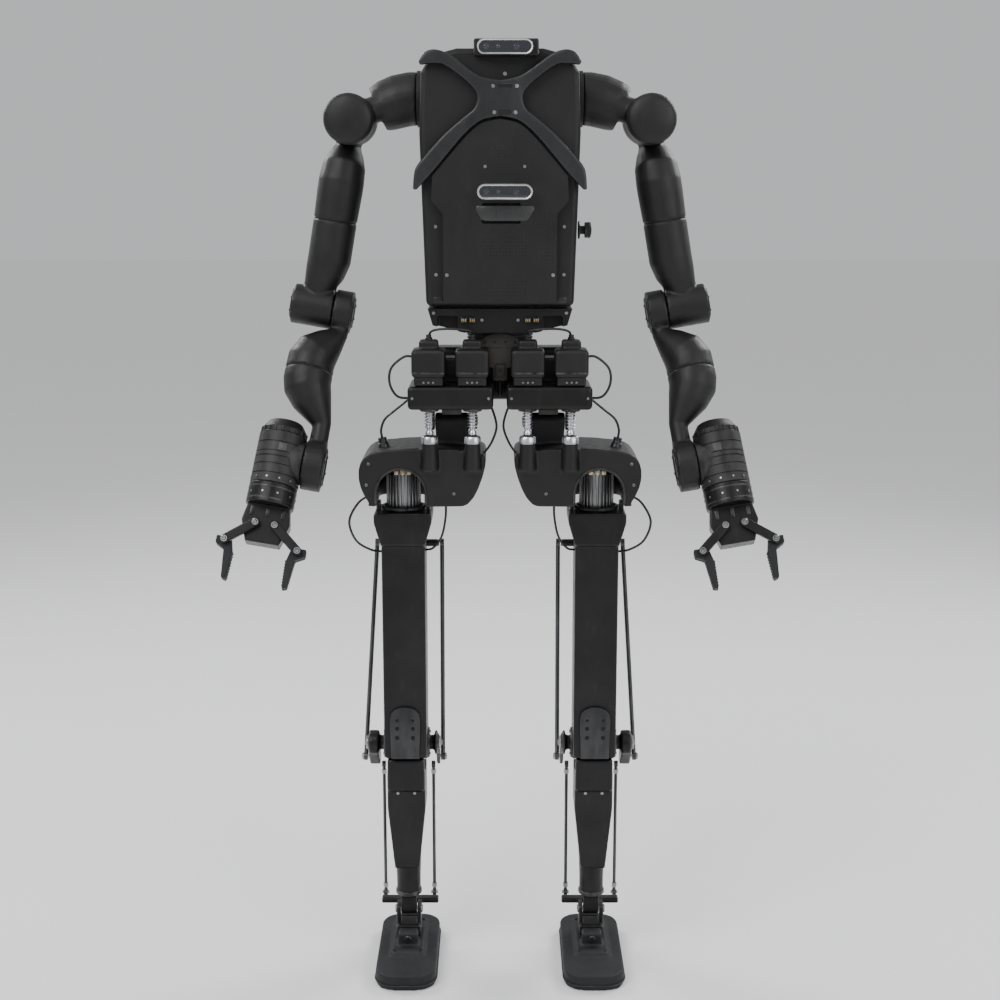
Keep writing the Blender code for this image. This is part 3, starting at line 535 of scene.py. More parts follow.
def brace_details():
    """The slots of the web between the two straps and the blank plate below the chest camera."""
    brace, cover = extent("x_brace").y0, extent("front_cover").y0
    slots, rims = bmesh.new(), bmesh.new()
    for z, half in ((1.552, 0.0125), (1.511, 0.0110)):
        place = at(CAMERA_SHIFT, brace, z) @ FRONT
        # Each slot is a thin near-black plate on the brace's face: painted shade of the slot's opening.
        prism(slots, rounded_bar(half, 0.0026), 0.0002, place, 0.0)
        line = [place @ Vector((x, y, 0.0)) for x, y in rounded_bar(half + 0.0008, 0.0034)]
        sweep(rims, line, 0.0007, 6, closed=True)
    piece("brace_slots", slots, PAINTED_SHADE, "torso")
    piece("brace_slot_rims", rims, BRACE, "torso")
    plate = bmesh.new()
    outline = [(-0.046, 0.012), (0.046, 0.012), (0.048, 0.006), (0.038, -0.010), (0.032, -0.012)]
    outline += [(-0.032, -0.012), (-0.038, -0.010), (-0.048, 0.006)]
    prism(plate, outline, 0.0010, at(CAMERA_SHIFT, cover, 1.3515) @ FRONT, 0.0004)
    piece("cover_badge_plate", plate, BADGE, "torso")


def rear_panel():
    """A plain screwed panel with cooling slots on the back of the casing."""
    shell = extent("torso_shell")
    place = at(0, shell.y1 - 0.0005, 1.378) @ BACK
    outline = rounded_plate(0.090, -0.145, 0.145, 0.012, 5)
    panel, slots = bmesh.new(), bmesh.new()
    prism(panel, outline, 0.003, place, 0.0012)
    # The cooling slots are thin near-black plates on the panel: painted shade of the openings.
    for row in range(9):
        spot = shifted(place, y=0.118 - row * 0.011, z=0.003)
        prism(slots, rounded_bar(0.052, 0.0022), 0.0002, spot, 0.0)
    piece("rear_panel", panel, SHELL_FLAT, "torso")
    piece("rear_panel_slots", slots, PAINTED_SHADE, "torso")


def casing_seams():
    """Near-black bars along the joints between the casing's front, sides and bottom trim: painted shade of the gaps.
    """
    shell = extent("torso_shell")
    trim, lips = bmesh.new(), bmesh.new()
    for side in (-1, 1):
        seam = [(side * 0.1285, shell.y0 + 0.045, 1.215), (side * 0.1345, shell.y0 + 0.045, 1.380)]
        seam += [(side * 0.1375, shell.y0 + 0.045, 1.480)]
        inner = [(x - side * 0.0065, y, z) for x, y, z in seam]
        sweep(trim, curved(inner, 6), 0.0012, 6)
        for x in (0.060, 0.100):
            lip = ahead(side * x, shell.y0 + 0.001, 1.2105)
            slab(lips, (0.020, 0.010, 0.003), lip, 0.001)
    piece("casing_seams", trim, PAINTED_SHADE, "torso")
    piece("casing_clips", lips, DARK_BOLT, "torso")


def stop_knob():
    button = extent("stop_button")
    middle_y, middle_z = (button.y0 + button.y1) / 2, (button.z0 + button.z1) / 2
    place = facing((button.x1, middle_y, middle_z), (1, 0, 0))
    bm = bmesh.new()
    hoop(bm, shifted(place, z=-0.003), 0.0136, 0.0024, 0.002, 28)
    lathe(bm, [(0, -0.001), (0.010, -0.001), (0.008, 0.0012), (0.003, 0.0018), (0, 0.0018)], place, 28)
    piece("stop_knob_cap", bm, SHELL, "stop_button")
    collar = bmesh.new()
    hoop(collar, shifted(place, z=-0.0195), 0.0150, 0.003, 0.006, 28)
    piece("stop_knob_collar", collar, DARK_BOLT, "torso")


def tray_details():
    """Connectors, contacts and screws at the front corners of the tray under the casing."""
    tray = extent("base_frame")
    sockets, contacts, screws = bmesh.new(), bmesh.new(), bmesh.new()
    for side in (-1, 1):
        for x in (0.046, 0.060):
            place = at(side * x, tray.y0 - 0.002, 1.177)
            slab(sockets, (0.011, 0.008, 0.009), place, 0.0012)
            for pin in range(3):
                spot = at(side * x + (pin - 1) * 0.003, tray.y0 - 0.0062, 1.177)
                slab(contacts, (0.0014, 0.0016, 0.004), spot, 0.0003)
        bolt(screws, ahead(side * 0.110, tray.y0, 1.1885), 0.0030, 0.0020)
        bolt(screws, ahead(side * 0.030, tray.y0, 1.1770), 0.0030, 0.0020)
        bolt(screws, facing((side * 0.110, tray.y1, 1.1885), (0, 1, 0)), 0.0030, 0.0020)
        bolt(screws, facing((side * 0.030, tray.y1, 1.1770), (0, 1, 0)), 0.0030, 0.0020)
    piece("tray_sockets", sockets, DARK_BOLT, "torso")
    piece("tray_contacts", contacts, BRASS, "torso")
    piece("tray_screws", screws, BOLT, "torso")


def waist_details():
    """The ribbed bearing drum, the grey shield-shaped plate in front of it and the pelvis bolts."""
    pelvis = extent("pelvis_frame")
    drum = above(0, MID_Y, 0)
    ribs = bmesh.new()
    for level in range(5):
        hoop(ribs, shifted(drum, z=pelvis.z1 - 0.0035 - level * 0.0055), 0.0568, 0.0026, 0.003, 48)
    piece("waist_ribs", ribs, FRAME, "pelvis")
    plate, bolts = bmesh.new(), bmesh.new()
    front = MID_Y - 0.057
    face = at(0, front, 1.100) @ FRONT
    shield = [(-0.036, 0.0), (-0.013, -0.006), (0.013, -0.006), (0.036, 0.0), (0.040, 0.034), (0.026, 0.047)]
    shield += [(0.010, 0.053), (-0.010, 0.053), (-0.026, 0.047), (-0.040, 0.034)]
    prism(plate, shield, 0.006, face, 0.0014)
    slab(plate, (0.068, 0.003, 0.003), at(0, front - 0.0065, 1.131), 0.001)
    slab(plate, (0.024, 0.006, 0.030), at(0, front - 0.003, 1.088), 0.0014)
    slab(plate, (0.016, 0.003, 0.020), at(0, front - 0.0070, 1.090), 0.001)
    for x in (-0.026, -0.009, 0.009, 0.026):
        bolt(bolts, ahead(x, front - 0.006, 1.138), 0.0022, 0.0014)
    bolt(bolts, ahead(0, front - 0.0085, 1.090), 0.0030, 0.0018)
    for x in (-0.110, -0.070, 0.070, 0.110):
        bolt(bolts, facing((x, pelvis.y1, 1.100), (0, 1, 0)), 0.0045, 0.0030)
        bolt(bolts, facing((x, pelvis.y1, 1.052), (0, 1, 0)), 0.0045, 0.0030)
    piece("spine_plate", plate, GREY, "pelvis")
    piece("pelvis_bolts", bolts, DARK_BOLT, "pelvis")


def torso():
    for node in ("torso_shell", "front_cover"):
        dress(node, SHELL_FLAT)
    dress("head_camera", SHELL_FLAT)
    dress("stop_button", SHELL)
    dress("base_frame", FRAME_FLAT)
    dress("chest_camera", SILVER)
    soft_copy("x_brace", BRACE, 0.0022, 5)
    soft_copy("pelvis_frame", FRAME, 0.0025, 3)
    torso_fasteners()
    vent_holes()
    chest, head = extent("chest_camera"), extent("head_camera")
    half = (chest.x1 - chest.x0) / 2
    radius = (chest.z1 - chest.z0) / 2
    camera_front("chest_camera", "chest_camera", (chest.z0 + chest.z1) / 2, half, radius)
    camera_front("head_camera", "head_camera", (head.z0 + head.z1) / 2, half, radius)
    brace_details()
    rear_panel()
    casing_seams()
    stop_knob()
    tray_details()
    waist_details()


# Arms ----------------------------------------------------------------------------------------


def limb_place(name, side, turning, bending):
    """The place on a limb's axis: Z runs up the limb and X to the robot's left."""
    return placed(pivot(f"{name}_{turning}"), -axis(f"{name}_{bending}"), side * axis(f"{name}_{turning}"))


def drum_cap(name, place, radius, body, bolts=0):
    """A dished round cap on the end of a joint's drum."""
    bm = bmesh.new()
    profile = [(0, -0.001), (radius, -0.001), (radius, 0.0012), (radius - 0.0012, 0.0022)]
    profile += [(radius * 0.72, 0.0022), (radius * 0.66, 0.0010), (0, 0.0010)]
    lathe(bm, profile, place, 40)
    piece(f"{name}_cap", bm, SHELL, body)
    if bolts:
        heads = bmesh.new()
        for step in range(bolts):
            angle = 2 * math.pi * (step + 0.5) / bolts
            spot = shifted(place, radius * 0.84 * math.cos(angle), radius * 0.84 * math.sin(angle), 0.0022)
            bolt(heads, spot, 0.0022, 0.0012)
        piece(f"{name}_cap_screws", heads, DARK_BOLT, body)


def seam_gap_shade(name, place, radius, body):
    """A near-black ring in the gap between two turning shells: painted shade of the gap."""
    bm = bmesh.new()
    hoop(bm, place, radius, 0.016, 0.006, 48)
    piece(f"{name}_seam_gap_shade", bm, PAINTED_SHADE, body)


def wrist_can(name, side):
    """The banded upright wrist motor with its grooved crown, which stands for the CAD module."""
    hand = limb_place(name, side, "hand_roll", "wrist_bend")
    wrist = pivot(f"{name}_wrist_bend")
    radius, top = HAND_RADIUS, 0.099
    profile = [(0, 0.0), (radius - 0.0010, 0.0), (radius, 0.0010)]
    for level, width in ((0.014, 0.0016), (0.030, 0.0012), (0.043, 0.0020), (0.052, 0.0012), (0.068, 0.0016)):
        profile += [(radius, level), (radius - 0.0012, level + 0.0004)]
        profile += [(radius - 0.0012, level + width), (radius, level + width + 0.0004)]
    profile += [(radius, top - 0.012), (radius - 0.0022, top - 0.010), (radius - 0.0022, top - 0.002)]
    profile += [(0.032, top + 0.007), (0.0285, top + 0.012), (0.025, top + 0.0138), (0, top + 0.0138)]
    bm = bmesh.new()
    lathe(bm, profile, hand, 56)
    across = -axis(f"{name}_wrist_bend") * side
    hub = facing(wrist - across * 0.0215, across)
    lathe(bm, [(0, 0), (0.034, 0), (0.036, 0.002), (0.036, 0.030), (0, 0.030)], hub, 48)
    made = piece(f"{name}_wrist_can", bm, SHELL, f"{name}_wrist", 30)
    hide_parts(f"{name}_wrist_module")
    ribs, heads = bmesh.new(), bmesh.new()
    for step in range(20):
        turn = Matrix.Rotation(2 * math.pi * step / 20, 4, "Z")
        slab(ribs, (0.0024, 0.0022, 0.0085), shifted(hand @ turn, x=radius - 0.0019, z=top - 0.006), 0.0005)
    for step in range(12):
        turn = Matrix.Rotation(2 * math.pi * (step + 0.5) / 12, 4, "Z")
        spot = shifted(hand @ turn, x=radius, z=0.0075) @ Matrix.Rotation(math.pi / 2, 4, "Y")
        bolt(heads, spot, 0.0017, 0.0009)
    piece(f"{name}_wrist_ribs", ribs, SHELL, f"{name}_wrist")
    piece(f"{name}_wrist_bolts", heads, BOLT, f"{name}_wrist")
    badge = bmesh.new()
    slab(badge, (0.014, 0.0012, 0.013), shifted(hand, x=-side * 0.006, y=-radius * 0.985, z=0.0605), 0.0004)
    piece(f"{name}_wrist_badge", badge, GREY, f"{name}_wrist")


def gripper(name, side):
    """Pivot pins with bright rings, the palm's ribs and the toothed jaws."""
    hand = limb_place(name, side, "hand_roll", "wrist_bend")
    palm_face = -0.0126
    rims, ribs = bmesh.new(), bmesh.new()
    for label in ("outer", "inner"):
        knuckle = placed(pivot(f"{name}_finger_{label}_close"), hand.col[0].xyz, hand.col[2].xyz)
        spot = shifted(knuckle, y=palm_face - 0.009) @ Matrix.Rotation(math.pi / 2, 4, "X")
        bolt(rims, spot, 0.0030, 0.0034)
        hoop(rims, shifted(spot, z=0.001), 0.0056, 0.0024, 0.0018, 24)
    for across in (-0.026, 0.0, 0.026):
        spot = shifted(hand, x=across, y=palm_face + 0.0006, z=-0.047)
        slab(ribs, (0.006, 0.003, 0.016), spot, 0.0008)
    hoop(ribs, shifted(hand, z=-0.008), HAND_RADIUS + 0.0004, 0.003, 0.002, 48)
    hoop(ribs, shifted(hand, z=-0.028), HAND_RADIUS + 0.0004, 0.003, 0.002, 48)
    for step in range(10):
        turn = Matrix.Rotation(2 * math.pi * step / 10, 4, "Z")
        spot = shifted(hand @ turn, x=HAND_RADIUS - 0.0004, z=-0.018) @ Matrix.Rotation(math.pi / 2, 4, "Y")
        bolt(rims, spot, 0.0018, 0.0012)
    piece(f"{name}_palm_pins", rims, BOLT, f"{name}_hand")
    piece(f"{name}_palm_ribs", ribs, FRAME, f"{name}_hand")
    for label in ("outer", "inner"):
        finger = side if label == "outer" else -side
        joint = f"{name}_finger_{label}"
        knuckle = placed(pivot(f"{joint}_level"), hand.col[0].xyz, hand.col[2].xyz)
        pins, teeth = bmesh.new(), bmesh.new()
        spot = shifted(knuckle, y=palm_face - 0.009) @ Matrix.Rotation(math.pi / 2, 4, "X")
        bolt(pins, spot, 0.0030, 0.0032)
        hoop(pins, shifted(spot, z=0.001), 0.0056, 0.0024, 0.0018, 24)
        piece(f"{joint}_pin", pins, BOLT, f"{joint}_crank")
        for tooth in range(9):
            drop = -0.018 - tooth * 0.0050
            lean = -0.0155 + tooth * 0.0002
            slab(teeth, (0.0030, 0.021, 0.0026), shifted(knuckle, x=finger * lean, z=drop), 0.0008)
        piece(f"{joint}_teeth", teeth, RUBBER, f"{joint}_tip")


def arm(name, side):
    for node in ("shoulder_link", "upper_arm", "elbow_link", "forearm_upper", "forearm_lower"):
        soft_copy(f"{name}_{node}", SHELL, 0.0024, 7)
    soft_copy(f"{name}_gripper_base", FRAME, 0.0014, 3)
    for label in ("outer", "inner"):
        soft_copy(f"{name}_finger_{label}_crank", FRAME, 0.0010, 3)
        soft_copy(f"{name}_finger_{label}_tip", RUBBER, 0.0012, 3)
    upper = limb_place(name, side, "upper_arm_twist", "elbow_bend")
    lower = limb_place(name, side, "forearm_twist", "elbow_bend")
    seam_gap_shade(f"{name}_upper_arm", upper, 0.0352, f"{name}_upper_arm")
    seam_gap_shade(f"{name}_forearm", lower, 0.0392, f"{name}_forearm_top")
    shoulder = extent(f"{name}_shoulder_link")
    middle = pivot(f"{name}_shoulder_roll")
    dome = bmesh.new()
    bulge = [(0.0405 * math.cos(math.radians(a)), 0.011 * math.sin(math.radians(a))) for a in range(0, 90, 10)]
    lathe(dome, [(0, -0.004), (0.0385, -0.004), *bulge, (0, 0.011)], ahead(middle.x, shoulder.y0, middle.z), 48)
    piece(f"{name}_shoulder_dome", dome, SHELL, f"{name}_shoulder", 60)
    back = facing((middle.x, MID_Y + 0.048, middle.z), (0, 1, 0))
    drum_cap(f"{name}_shoulder_back", back, 0.033, f"{name}_upper_arm", bolts=6)
    outward = -axis(f"{name}_elbow_bend") * side
    elbow = pivot(f"{name}_elbow_bend")
    drum_cap(f"{name}_elbow_outer", facing(elbow + outward * 0.050, outward), 0.026, f"{name}_elbow", bolts=6)
    drum_cap(f"{name}_elbow_inner", facing(elbow - outward * 0.053, -outward), 0.027, f"{name}_forearm_top", bolts=6)
    wrist = pivot(f"{name}_wrist_bend")
    drum_cap(f"{name}_wrist_inner", facing(wrist - outward * 0.055, -outward), 0.033, f"{name}_forearm", bolts=6)
    wrist_can(name, side)
    gripper(name, side)


# Legs ----------------------------------------------------------------------------------------


def threaded_screw(name, label):
    """A ball screw with a real helical thread and a ball end, which stands for the CAD's ringed one."""
    node = f"{name}_ball_screw_{label}"
    low = extent(node)
    x, y = (low.x0 + low.x1) / 2, (low.y0 + low.y1) / 2
    sides, pitch = 24, 0.0052
    top, shoulder = low.z1, low.z0 + 0.0158
    rows = int((top - shoulder) / pitch * 10)
    bm = bmesh.new()
    loops = [[bm.verts.new((x, y, top))]]
    for row in range(rows + 1):
        loop = []
        for step in range(sides):
            turn = step / sides
            level = top - (top - shoulder) * row / rows
            phase = (level / pitch - turn) % 1.0
            radius = 0.0074 + 0.0014 * math.cos(2 * math.pi * phase)
            angle = 2 * math.pi * turn
            loop.append(bm.verts.new((x + radius * math.cos(angle), y + radius * math.sin(angle), level)))
        loops.append(loop)
    for radius, height in ((0.0045, 0.0150), (0.0045, 0.0125), (0.0066, 0.0095), (0.0070, 0.0065), (0.0062, 0.0030)):
        loop = []
        for step in range(sides):
            angle = 2 * math.pi * step / sides
            loop.append(bm.verts.new((x + radius * math.cos(angle), y + radius * math.sin(angle), low.z0 + height)))
        loops.append(loop)
    loops.append([bm.verts.new((x, y, low.z0))])
    rings(bm, loops)
    made = piece(f"{name}_screw_thread_{label}", bm, STEEL, f"{name}_ball_screws", 60)
    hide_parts(node)


def hip_motors(name):
    """Bolted, capped linear motors on their shared flange."""
    flange = extent(f"{name}_hip_carrier")
    heads, glands, bands = bmesh.new(), bmesh.new(), bmesh.new()
    for label in ("outer", "inner"):
        motor = extent(f"{name}_hip_motor_{label}")
        soft_copy(f"{name}_hip_motor_{label}", SHELL, 0.0018, 4)
        x = (motor.x0 + motor.x1) / 2
        for offset in (-0.008, 0.0, 0.008):
            spot = ahead(x + offset, motor.y0 + 0.0062, motor.z0 + 0.006)
            bolt(heads, spot, 0.0018, 0.0014)
        lathe(
            glands,
            [(0, 0), (0.0060, 0), (0.0060, 0.004), (0.0045, 0.0055), (0.0045, 0.009), (0, 0.009)],
            above(x, motor.y0 + 0.034, motor.z1 - 0.001),
            24,
        )
        slab(bands, (0.052, 0.0016, 0.0030), at(x, motor.y0 - 0.0002, motor.z0 + 0.022), 0.0006)
        nut = extent(f"{name}_ball_screw_{label}")
        collar = facing((x, (nut.y0 + nut.y1) / 2, FLANGE_UNDER), (0, 0, -1))
        lathe(
            bands,
            [(0.0112, 0), (0.0160, 0), (0.0160, 0.0040), (0.0150, 0.0050), (0.0112, 0.0050)],
            collar,
            32,
            closed=True,
        )
    for x in (flange.x0 + 0.008, flange.x1 - 0.008):
        bolt(heads, ahead(x, flange.y0 + 0.0003, (FLANGE_UNDER + FLANGE_OVER) / 2), 0.0022, 0.0014)
    piece(f"{name}_hip_bolts", heads, BOLT, f"{name}_hip")
    piece(f"{name}_hip_glands", glands, DARK_BOLT, f"{name}_hip")
    piece(f"{name}_hip_bands", bands, FRAME, f"{name}_hip")


def hip_bracket(name):
    """The grey gusset under the flange and the bolts of the hip axles."""
    middle = pivot(f"{name}_hip_pitch")
    gusset, pins = bmesh.new(), bmesh.new()
    slab(gusset, (0.034, 0.006, 0.020), at(middle.x, middle.y - 0.022, 1.024), 0.0015)
    slab(gusset, (0.006, 0.014, 0.016), at(middle.x, middle.y - 0.018, 1.026), 0.001)
    for end in (-1, 1):
        place = facing((middle.x + end * 0.040, middle.y, middle.z), (end, 0, 0))
        bolt(pins, place, 0.0085, 0.0040)
    piece(f"{name}_hip_gusset", gusset, GREY, f"{name}_hip")
    piece(f"{name}_hip_axle_bolts", pins, BOLT, f"{name}_hip")


def housing_details(name, side):
    """The rim of the arch, the ball cups, the cable boss and the casing's screws."""
    soft_copy(f"{name}_hip_housing", SHELL, 0.0024, 7)
    yaw = pivot(f"{name}_hip_yaw")
    rim, seats, screws = bmesh.new(), bmesh.new(), bmesh.new()
    front = MID_Y - 0.100
    arch_z, radius = 0.885, 0.0425
    line = [(yaw.x + side * radius, front, 0.868)]
    for step in range(17):
        angle = math.pi * step / 16
        line.append((yaw.x + side * radius * math.cos(angle), front, arch_z + radius * math.sin(angle)))
    line.append((yaw.x - side * radius, front, 0.868))
    sweep(rim, line, 0.0024, 8)
    for label in ("outer", "inner"):
        nut = extent(f"{name}_ball_screw_{label}")
        x, y = (nut.x0 + nut.x1) / 2, (nut.y0 + nut.y1) / 2
        place = above(x, y, nut.z0 - 0.0035)
        cup = [(0.0098, -0.006), (0.0142, -0.006), (0.0142, 0.0040), (0.0125, 0.0062), (0.0104, 0.0062)]
        lathe(seats, cup, place, 32, closed=True)
    for x, z in ((0.078, 0.885), (0.058, 0.932), (0.226, 0.900), (0.222, 0.936)):
        bolt(screws, ahead(side * x, front + 0.0006, z), 0.0026, 0.0014)
    boss = bmesh.new()
    place = facing((side * 0.197, MID_Y - 0.050, 0.950), (side * 0.20, 0, 1))
    lathe(boss, [(0, 0), (0.010, 0), (0.010, 0.012), (0.0075, 0.016), (0.0075, 0.024), (0, 0.024)], place, 28)
    hoop(boss, shifted(place, z=0.014), 0.0090, 0.0030, 0.004, 28)
    piece(f"{name}_arch_rim", rim, SHELL, f"{name}_hip_casing")
    piece(f"{name}_ball_cups", seats, STEEL, f"{name}_hip_casing")
    piece(f"{name}_casing_screws", screws, BOLT, f"{name}_hip_casing")
    piece(f"{name}_cable_boss", boss, DARK_BOLT, f"{name}_hip_casing")


def knee_drive(name):
    """The finned motor at the top of the thigh, with its contacts and ears."""
    motor = extent(f"{name}_knee_motor")
    x, y = (motor.x0 + motor.x1) / 2, (motor.y0 + motor.y1) / 2
    cooler = bmesh.new()
    upright = above(x, y, 0)
    low, high = motor.z0, motor.z1
    lathe(cooler, [(0, low), (0.0245, low), (0.0245, high - 0.012), (0, high - 0.012)], upright, 40)
    core = [(0, high - 0.014), (0.0235, high - 0.014), (0.0235, high - 0.003), (0.021, high), (0, high)]
    lathe(cooler, core, upright, 40)
    for step in range(26):
        turn = Matrix.Rotation(2 * math.pi * step / 26, 4, "Z")
        fin = shifted(upright @ turn, x=0.0262, z=(low + high - 0.014) / 2)
        slab(cooler, (0.0080, 0.0022, high - low - 0.014), fin, 0.0006)
    made = piece(f"{name}_knee_cooler", cooler, FINS, f"{name}_thigh")
    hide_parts(f"{name}_knee_motor")
    contacts, plugs, ears = bmesh.new(), bmesh.new(), bmesh.new()
    for offset in (-0.011, 0.0, 0.011):
        slab(plugs, (0.0075, 0.007, 0.009), at(x + offset, y - 0.0245, motor.z1 - 0.0085), 0.001)
        slab(contacts, (0.0030, 0.0020, 0.006), at(x + offset, y - 0.0283, motor.z1 - 0.0085), 0.0005)
    collar = extent(f"{name}_thigh_beam").z1
    for end in (-1, 1):
        slab(ears, (0.007, 0.030, 0.016), at(x + end * 0.0435, y - 0.004, collar + 0.007), 0.002)
        bolt(ears, ahead(x + end * 0.043, y - 0.019, collar + 0.008), 0.0026, 0.002)
    hoop(ears, above(x, y, motor.z0 + 0.0042), 0.0385, 0.006, 0.005, 48)
    piece(f"{name}_knee_contacts", contacts, BRASS, f"{name}_thigh")
    piece(f"{name}_knee_plugs", plugs, IVORY, f"{name}_thigh")
    piece(f"{name}_knee_motor_ears", ears, FRAME, f"{name}_thigh")


def knee_cover(name):
    """The paler round-topped plate over the knee, with its two columns of holes."""
    knee = pivot(f"{name}_knee_bend")
    front = extent(f"{name}_thigh_beam").y0 + 0.007
    place = at(knee.x, front, knee.z) @ FRONT
    outline = [(-0.025, -0.010), (0.025, -0.010), (0.027, 0.060)]
    for step in range(1, 8):
        angle = math.pi * step / 8
        outline.append((0.027 * math.cos(angle), 0.066 + 0.020 * math.sin(angle)))
    outline.append((-0.027, 0.060))
    cover, holes, rims = bmesh.new(), bmesh.new(), bmesh.new()
    prism(cover, outline, 0.0065, place, 0.0016)
    for x in (-0.014, 0.014):
        for z in (0.030, 0.047, 0.062):
            spot = shifted(place, x=x, y=z, z=0.0065)
            size = 0.0042 if z < 0.05 else 0.0034
            # Each hole is a near-black disc sunk into the cover: painted shade of the hole's inside, with a rim
            # round it.
            lathe(holes, [(0, 0.0002), (size, 0.0002), (size, -0.002), (0, -0.002)], spot, 20)
            hoop(rims, shifted(spot, z=0.0001), size + 0.0009, 0.0012, 0.0010, 24)
    piece(f"{name}_knee_cover", cover, BRACE, f"{name}_thigh")
    piece(f"{name}_knee_cover_holes", holes, PAINTED_SHADE, f"{name}_thigh")
    piece(f"{name}_knee_cover_rims", rims, BRACE, f"{name}_thigh")


def knee_joint(name, side):
    """Bearing rings on the fork, caps on the axle and bolts on the crank pins."""
    knee = pivot(f"{name}_knee_bend")
    pin = pivot(f"{name}_thigh_rod_follow")
    bearings, heads, shanks = bmesh.new(), bmesh.new(), bmesh.new()
    for end in (-1, 1):
        place = facing((knee.x + end * 0.038, knee.y, knee.z), (end, 0, 0))
        ring = [(0.0150, -0.001), (0.0275, -0.001), (0.0275, 0.0018), (0.0262, 0.0030), (0.0150, 0.0030)]
        lathe(bearings, ring, place, 48, closed=True)
        for step in range(8):
            angle = 2 * math.pi * step / 8
            bolt(bearings, shifted(place, 0.0215 * math.cos(angle), 0.0215 * math.sin(angle), 0.003), 0.0022, 0.0014)
        reach = 0.071 if end == side else 0.058
        outer = facing((knee.x + end * reach, knee.y, knee.z), (end, 0, 0))
        lathe(heads, [(0, -0.001), (0.0125, -0.001), (0.0125, 0.0016), (0.0110, 0.0028), (0, 0.0028)], outer, 32)
        bolt(heads, shifted(outer, z=0.0028), 0.0050, 0.0026)
        eye = 0.0790 if end == side else 0.0630
        start = facing((knee.x + end * (reach - 0.002), pin.y, pin.z), (end, 0, 0))
        disc(shanks, start, 0.0036, eye - reach + 0.0068, 0.0004, 16)
        bolt(heads, facing((knee.x + end * (eye + 0.0042), pin.y, pin.z), (end, 0, 0)), 0.0062, 0.0028)
    piece(f"{name}_knee_bearings", bearings, FRAME, f"{name}_thigh")
    piece(f"{name}_axle_caps", heads, BOLT, f"{name}_shin")
    piece(f"{name}_crank_pins", shanks, STEEL, f"{name}_shin")


def shin_details(name):
    soft_copy(f"{name}_shin", FRAME, 0.0022, 4)
    knee = pivot(f"{name}_knee_bend")
    front = MID_Y - 0.046
    heads = bmesh.new()
    for x in (-0.015, 0.015):
        for z in (-0.060, -0.080):
            bolt(heads, ahead(knee.x + x, front + 0.0004, knee.z + z), 0.0028, 0.0012)
    ankle = pivot(f"{name}_ankle_pitch")
    collar = bmesh.new()
    hoop(collar, above(knee.x, MID_Y, ankle.z + 0.0365), 0.0238, 0.008, 0.004, 40)
    piece(f"{name}_shin_screws", heads, BOLT, f"{name}_shin")
    piece(f"{name}_shin_collar", collar, FRAME, f"{name}_shin")


def ankle_and_foot(name, side):
    """Pins, rod bolts and the instep's screws."""
    soft_copy(f"{name}_foot", RUBBER, 0.0026, 4)
    pitch, roll = pivot(f"{name}_ankle_pitch"), pivot(f"{name}_ankle_roll")
    sole = extent(f"{name}_foot")
    pins, rods, screws = bmesh.new(), bmesh.new(), bmesh.new()
    for end in (-1, 1):
        bolt(pins, facing((pitch.x + end * 0.0225, pitch.y, pitch.z), (end, 0, 0)), 0.0075, 0.0030)
        bolt(screws, facing((roll.x, MID_Y + (0.046 if end > 0 else -0.048), roll.z), (0, end, 0)), 0.0070, 0.0035)
        for y in (-0.066, 0.060):
            bolt(screws, above(roll.x + end * 0.024, MID_Y + y, 0.034), 0.0030, 0.0018)
        rod = extent(f"{name}_shin_rod_{'outer' if end == side else 'inner'}")
        x, y = (rod.x0 + rod.x1) / 2, (rod.y0 + rod.y1) / 2
        bolt(rods, facing((rod.x1 + 0.0008, y, rod.z0 + 0.0057), (1, 0, 0)), 0.0030, 0.0020)
        bolt(rods, facing((rod.x0 - 0.0008, y, rod.z0 + 0.0057), (-1, 0, 0)), 0.0030, 0.0020)
        nut = [(0.0028, -0.004), (0.0046, -0.004), (0.0046, 0.004), (0.0028, 0.004)]
        for z in (rod.z0 + 0.020, rod.z1 - 0.020):
            lathe(rods, nut, above(x, y, z), 6, closed=True)
    tread = bmesh.new()
    half, corner = (sole.x1 - sole.x0) / 2 + 0.0006, 0.036
    plan = rounded_plate(half - corner, sole.y0 + corner, sole.y1 - corner, corner, 9)
    outline = [(roll.x + x, y, 0.0085) for x, y in plan]
    sweep(tread, outline, 0.0016, 6, closed=True)
    piece(f"{name}_ankle_pins", pins, BOLT, f"{name}_ankle")
    piece(f"{name}_foot_screws", screws, DARK_BOLT, f"{name}_foot")
    piece(f"{name}_rod_bolts", rods, BOLT, f"{name}_shin_rods")
    piece(f"{name}_sole_bead", tread, RUBBER, f"{name}_foot")


def leg(name, side):
    soft_copy(f"{name}_hip_carrier", FRAME, 0.0020, 3)
    soft_copy(f"{name}_thigh_beam", FRAME, 0.0024, 3)
    soft_copy(f"{name}_ankle_cross", FRAME, 0.0015, 2)
    for label in ("outer", "inner"):
        threaded_screw(name, label)
        dress(f"{name}_thigh_rod_{label}", ROD)
        dress(f"{name}_shin_rod_{label}", ROD)
    hip_motors(name)
    hip_bracket(name)
    housing_details(name, side)
    knee_drive(name)
    knee_cover(name)
    knee_joint(name, side)
    shin_details(name)
    ankle_and_foot(name, side)


# Cables --------------------------------------------------------------------------------------


def cable(name, knots, diameter, body, across=None):
    """A cable through the knots, in the robot's own coordinates with y measured from the joint plane."""
    line = curved([(x, y + MID_Y, z) for x, y, z in knots])
    bm = bmesh.new()
    sweep(bm, line, diameter / 2, 10)
    made = piece(name, bm, CABLE, None if across else body)
    if across:
        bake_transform(made)


def crossing(other, knots):
    """The other body of a cable that crosses a joint, and the places where its bend begins and ends."""
    return (other, *((x, y + MID_Y, z) for x, y, z in (knots[1], knots[-2])))


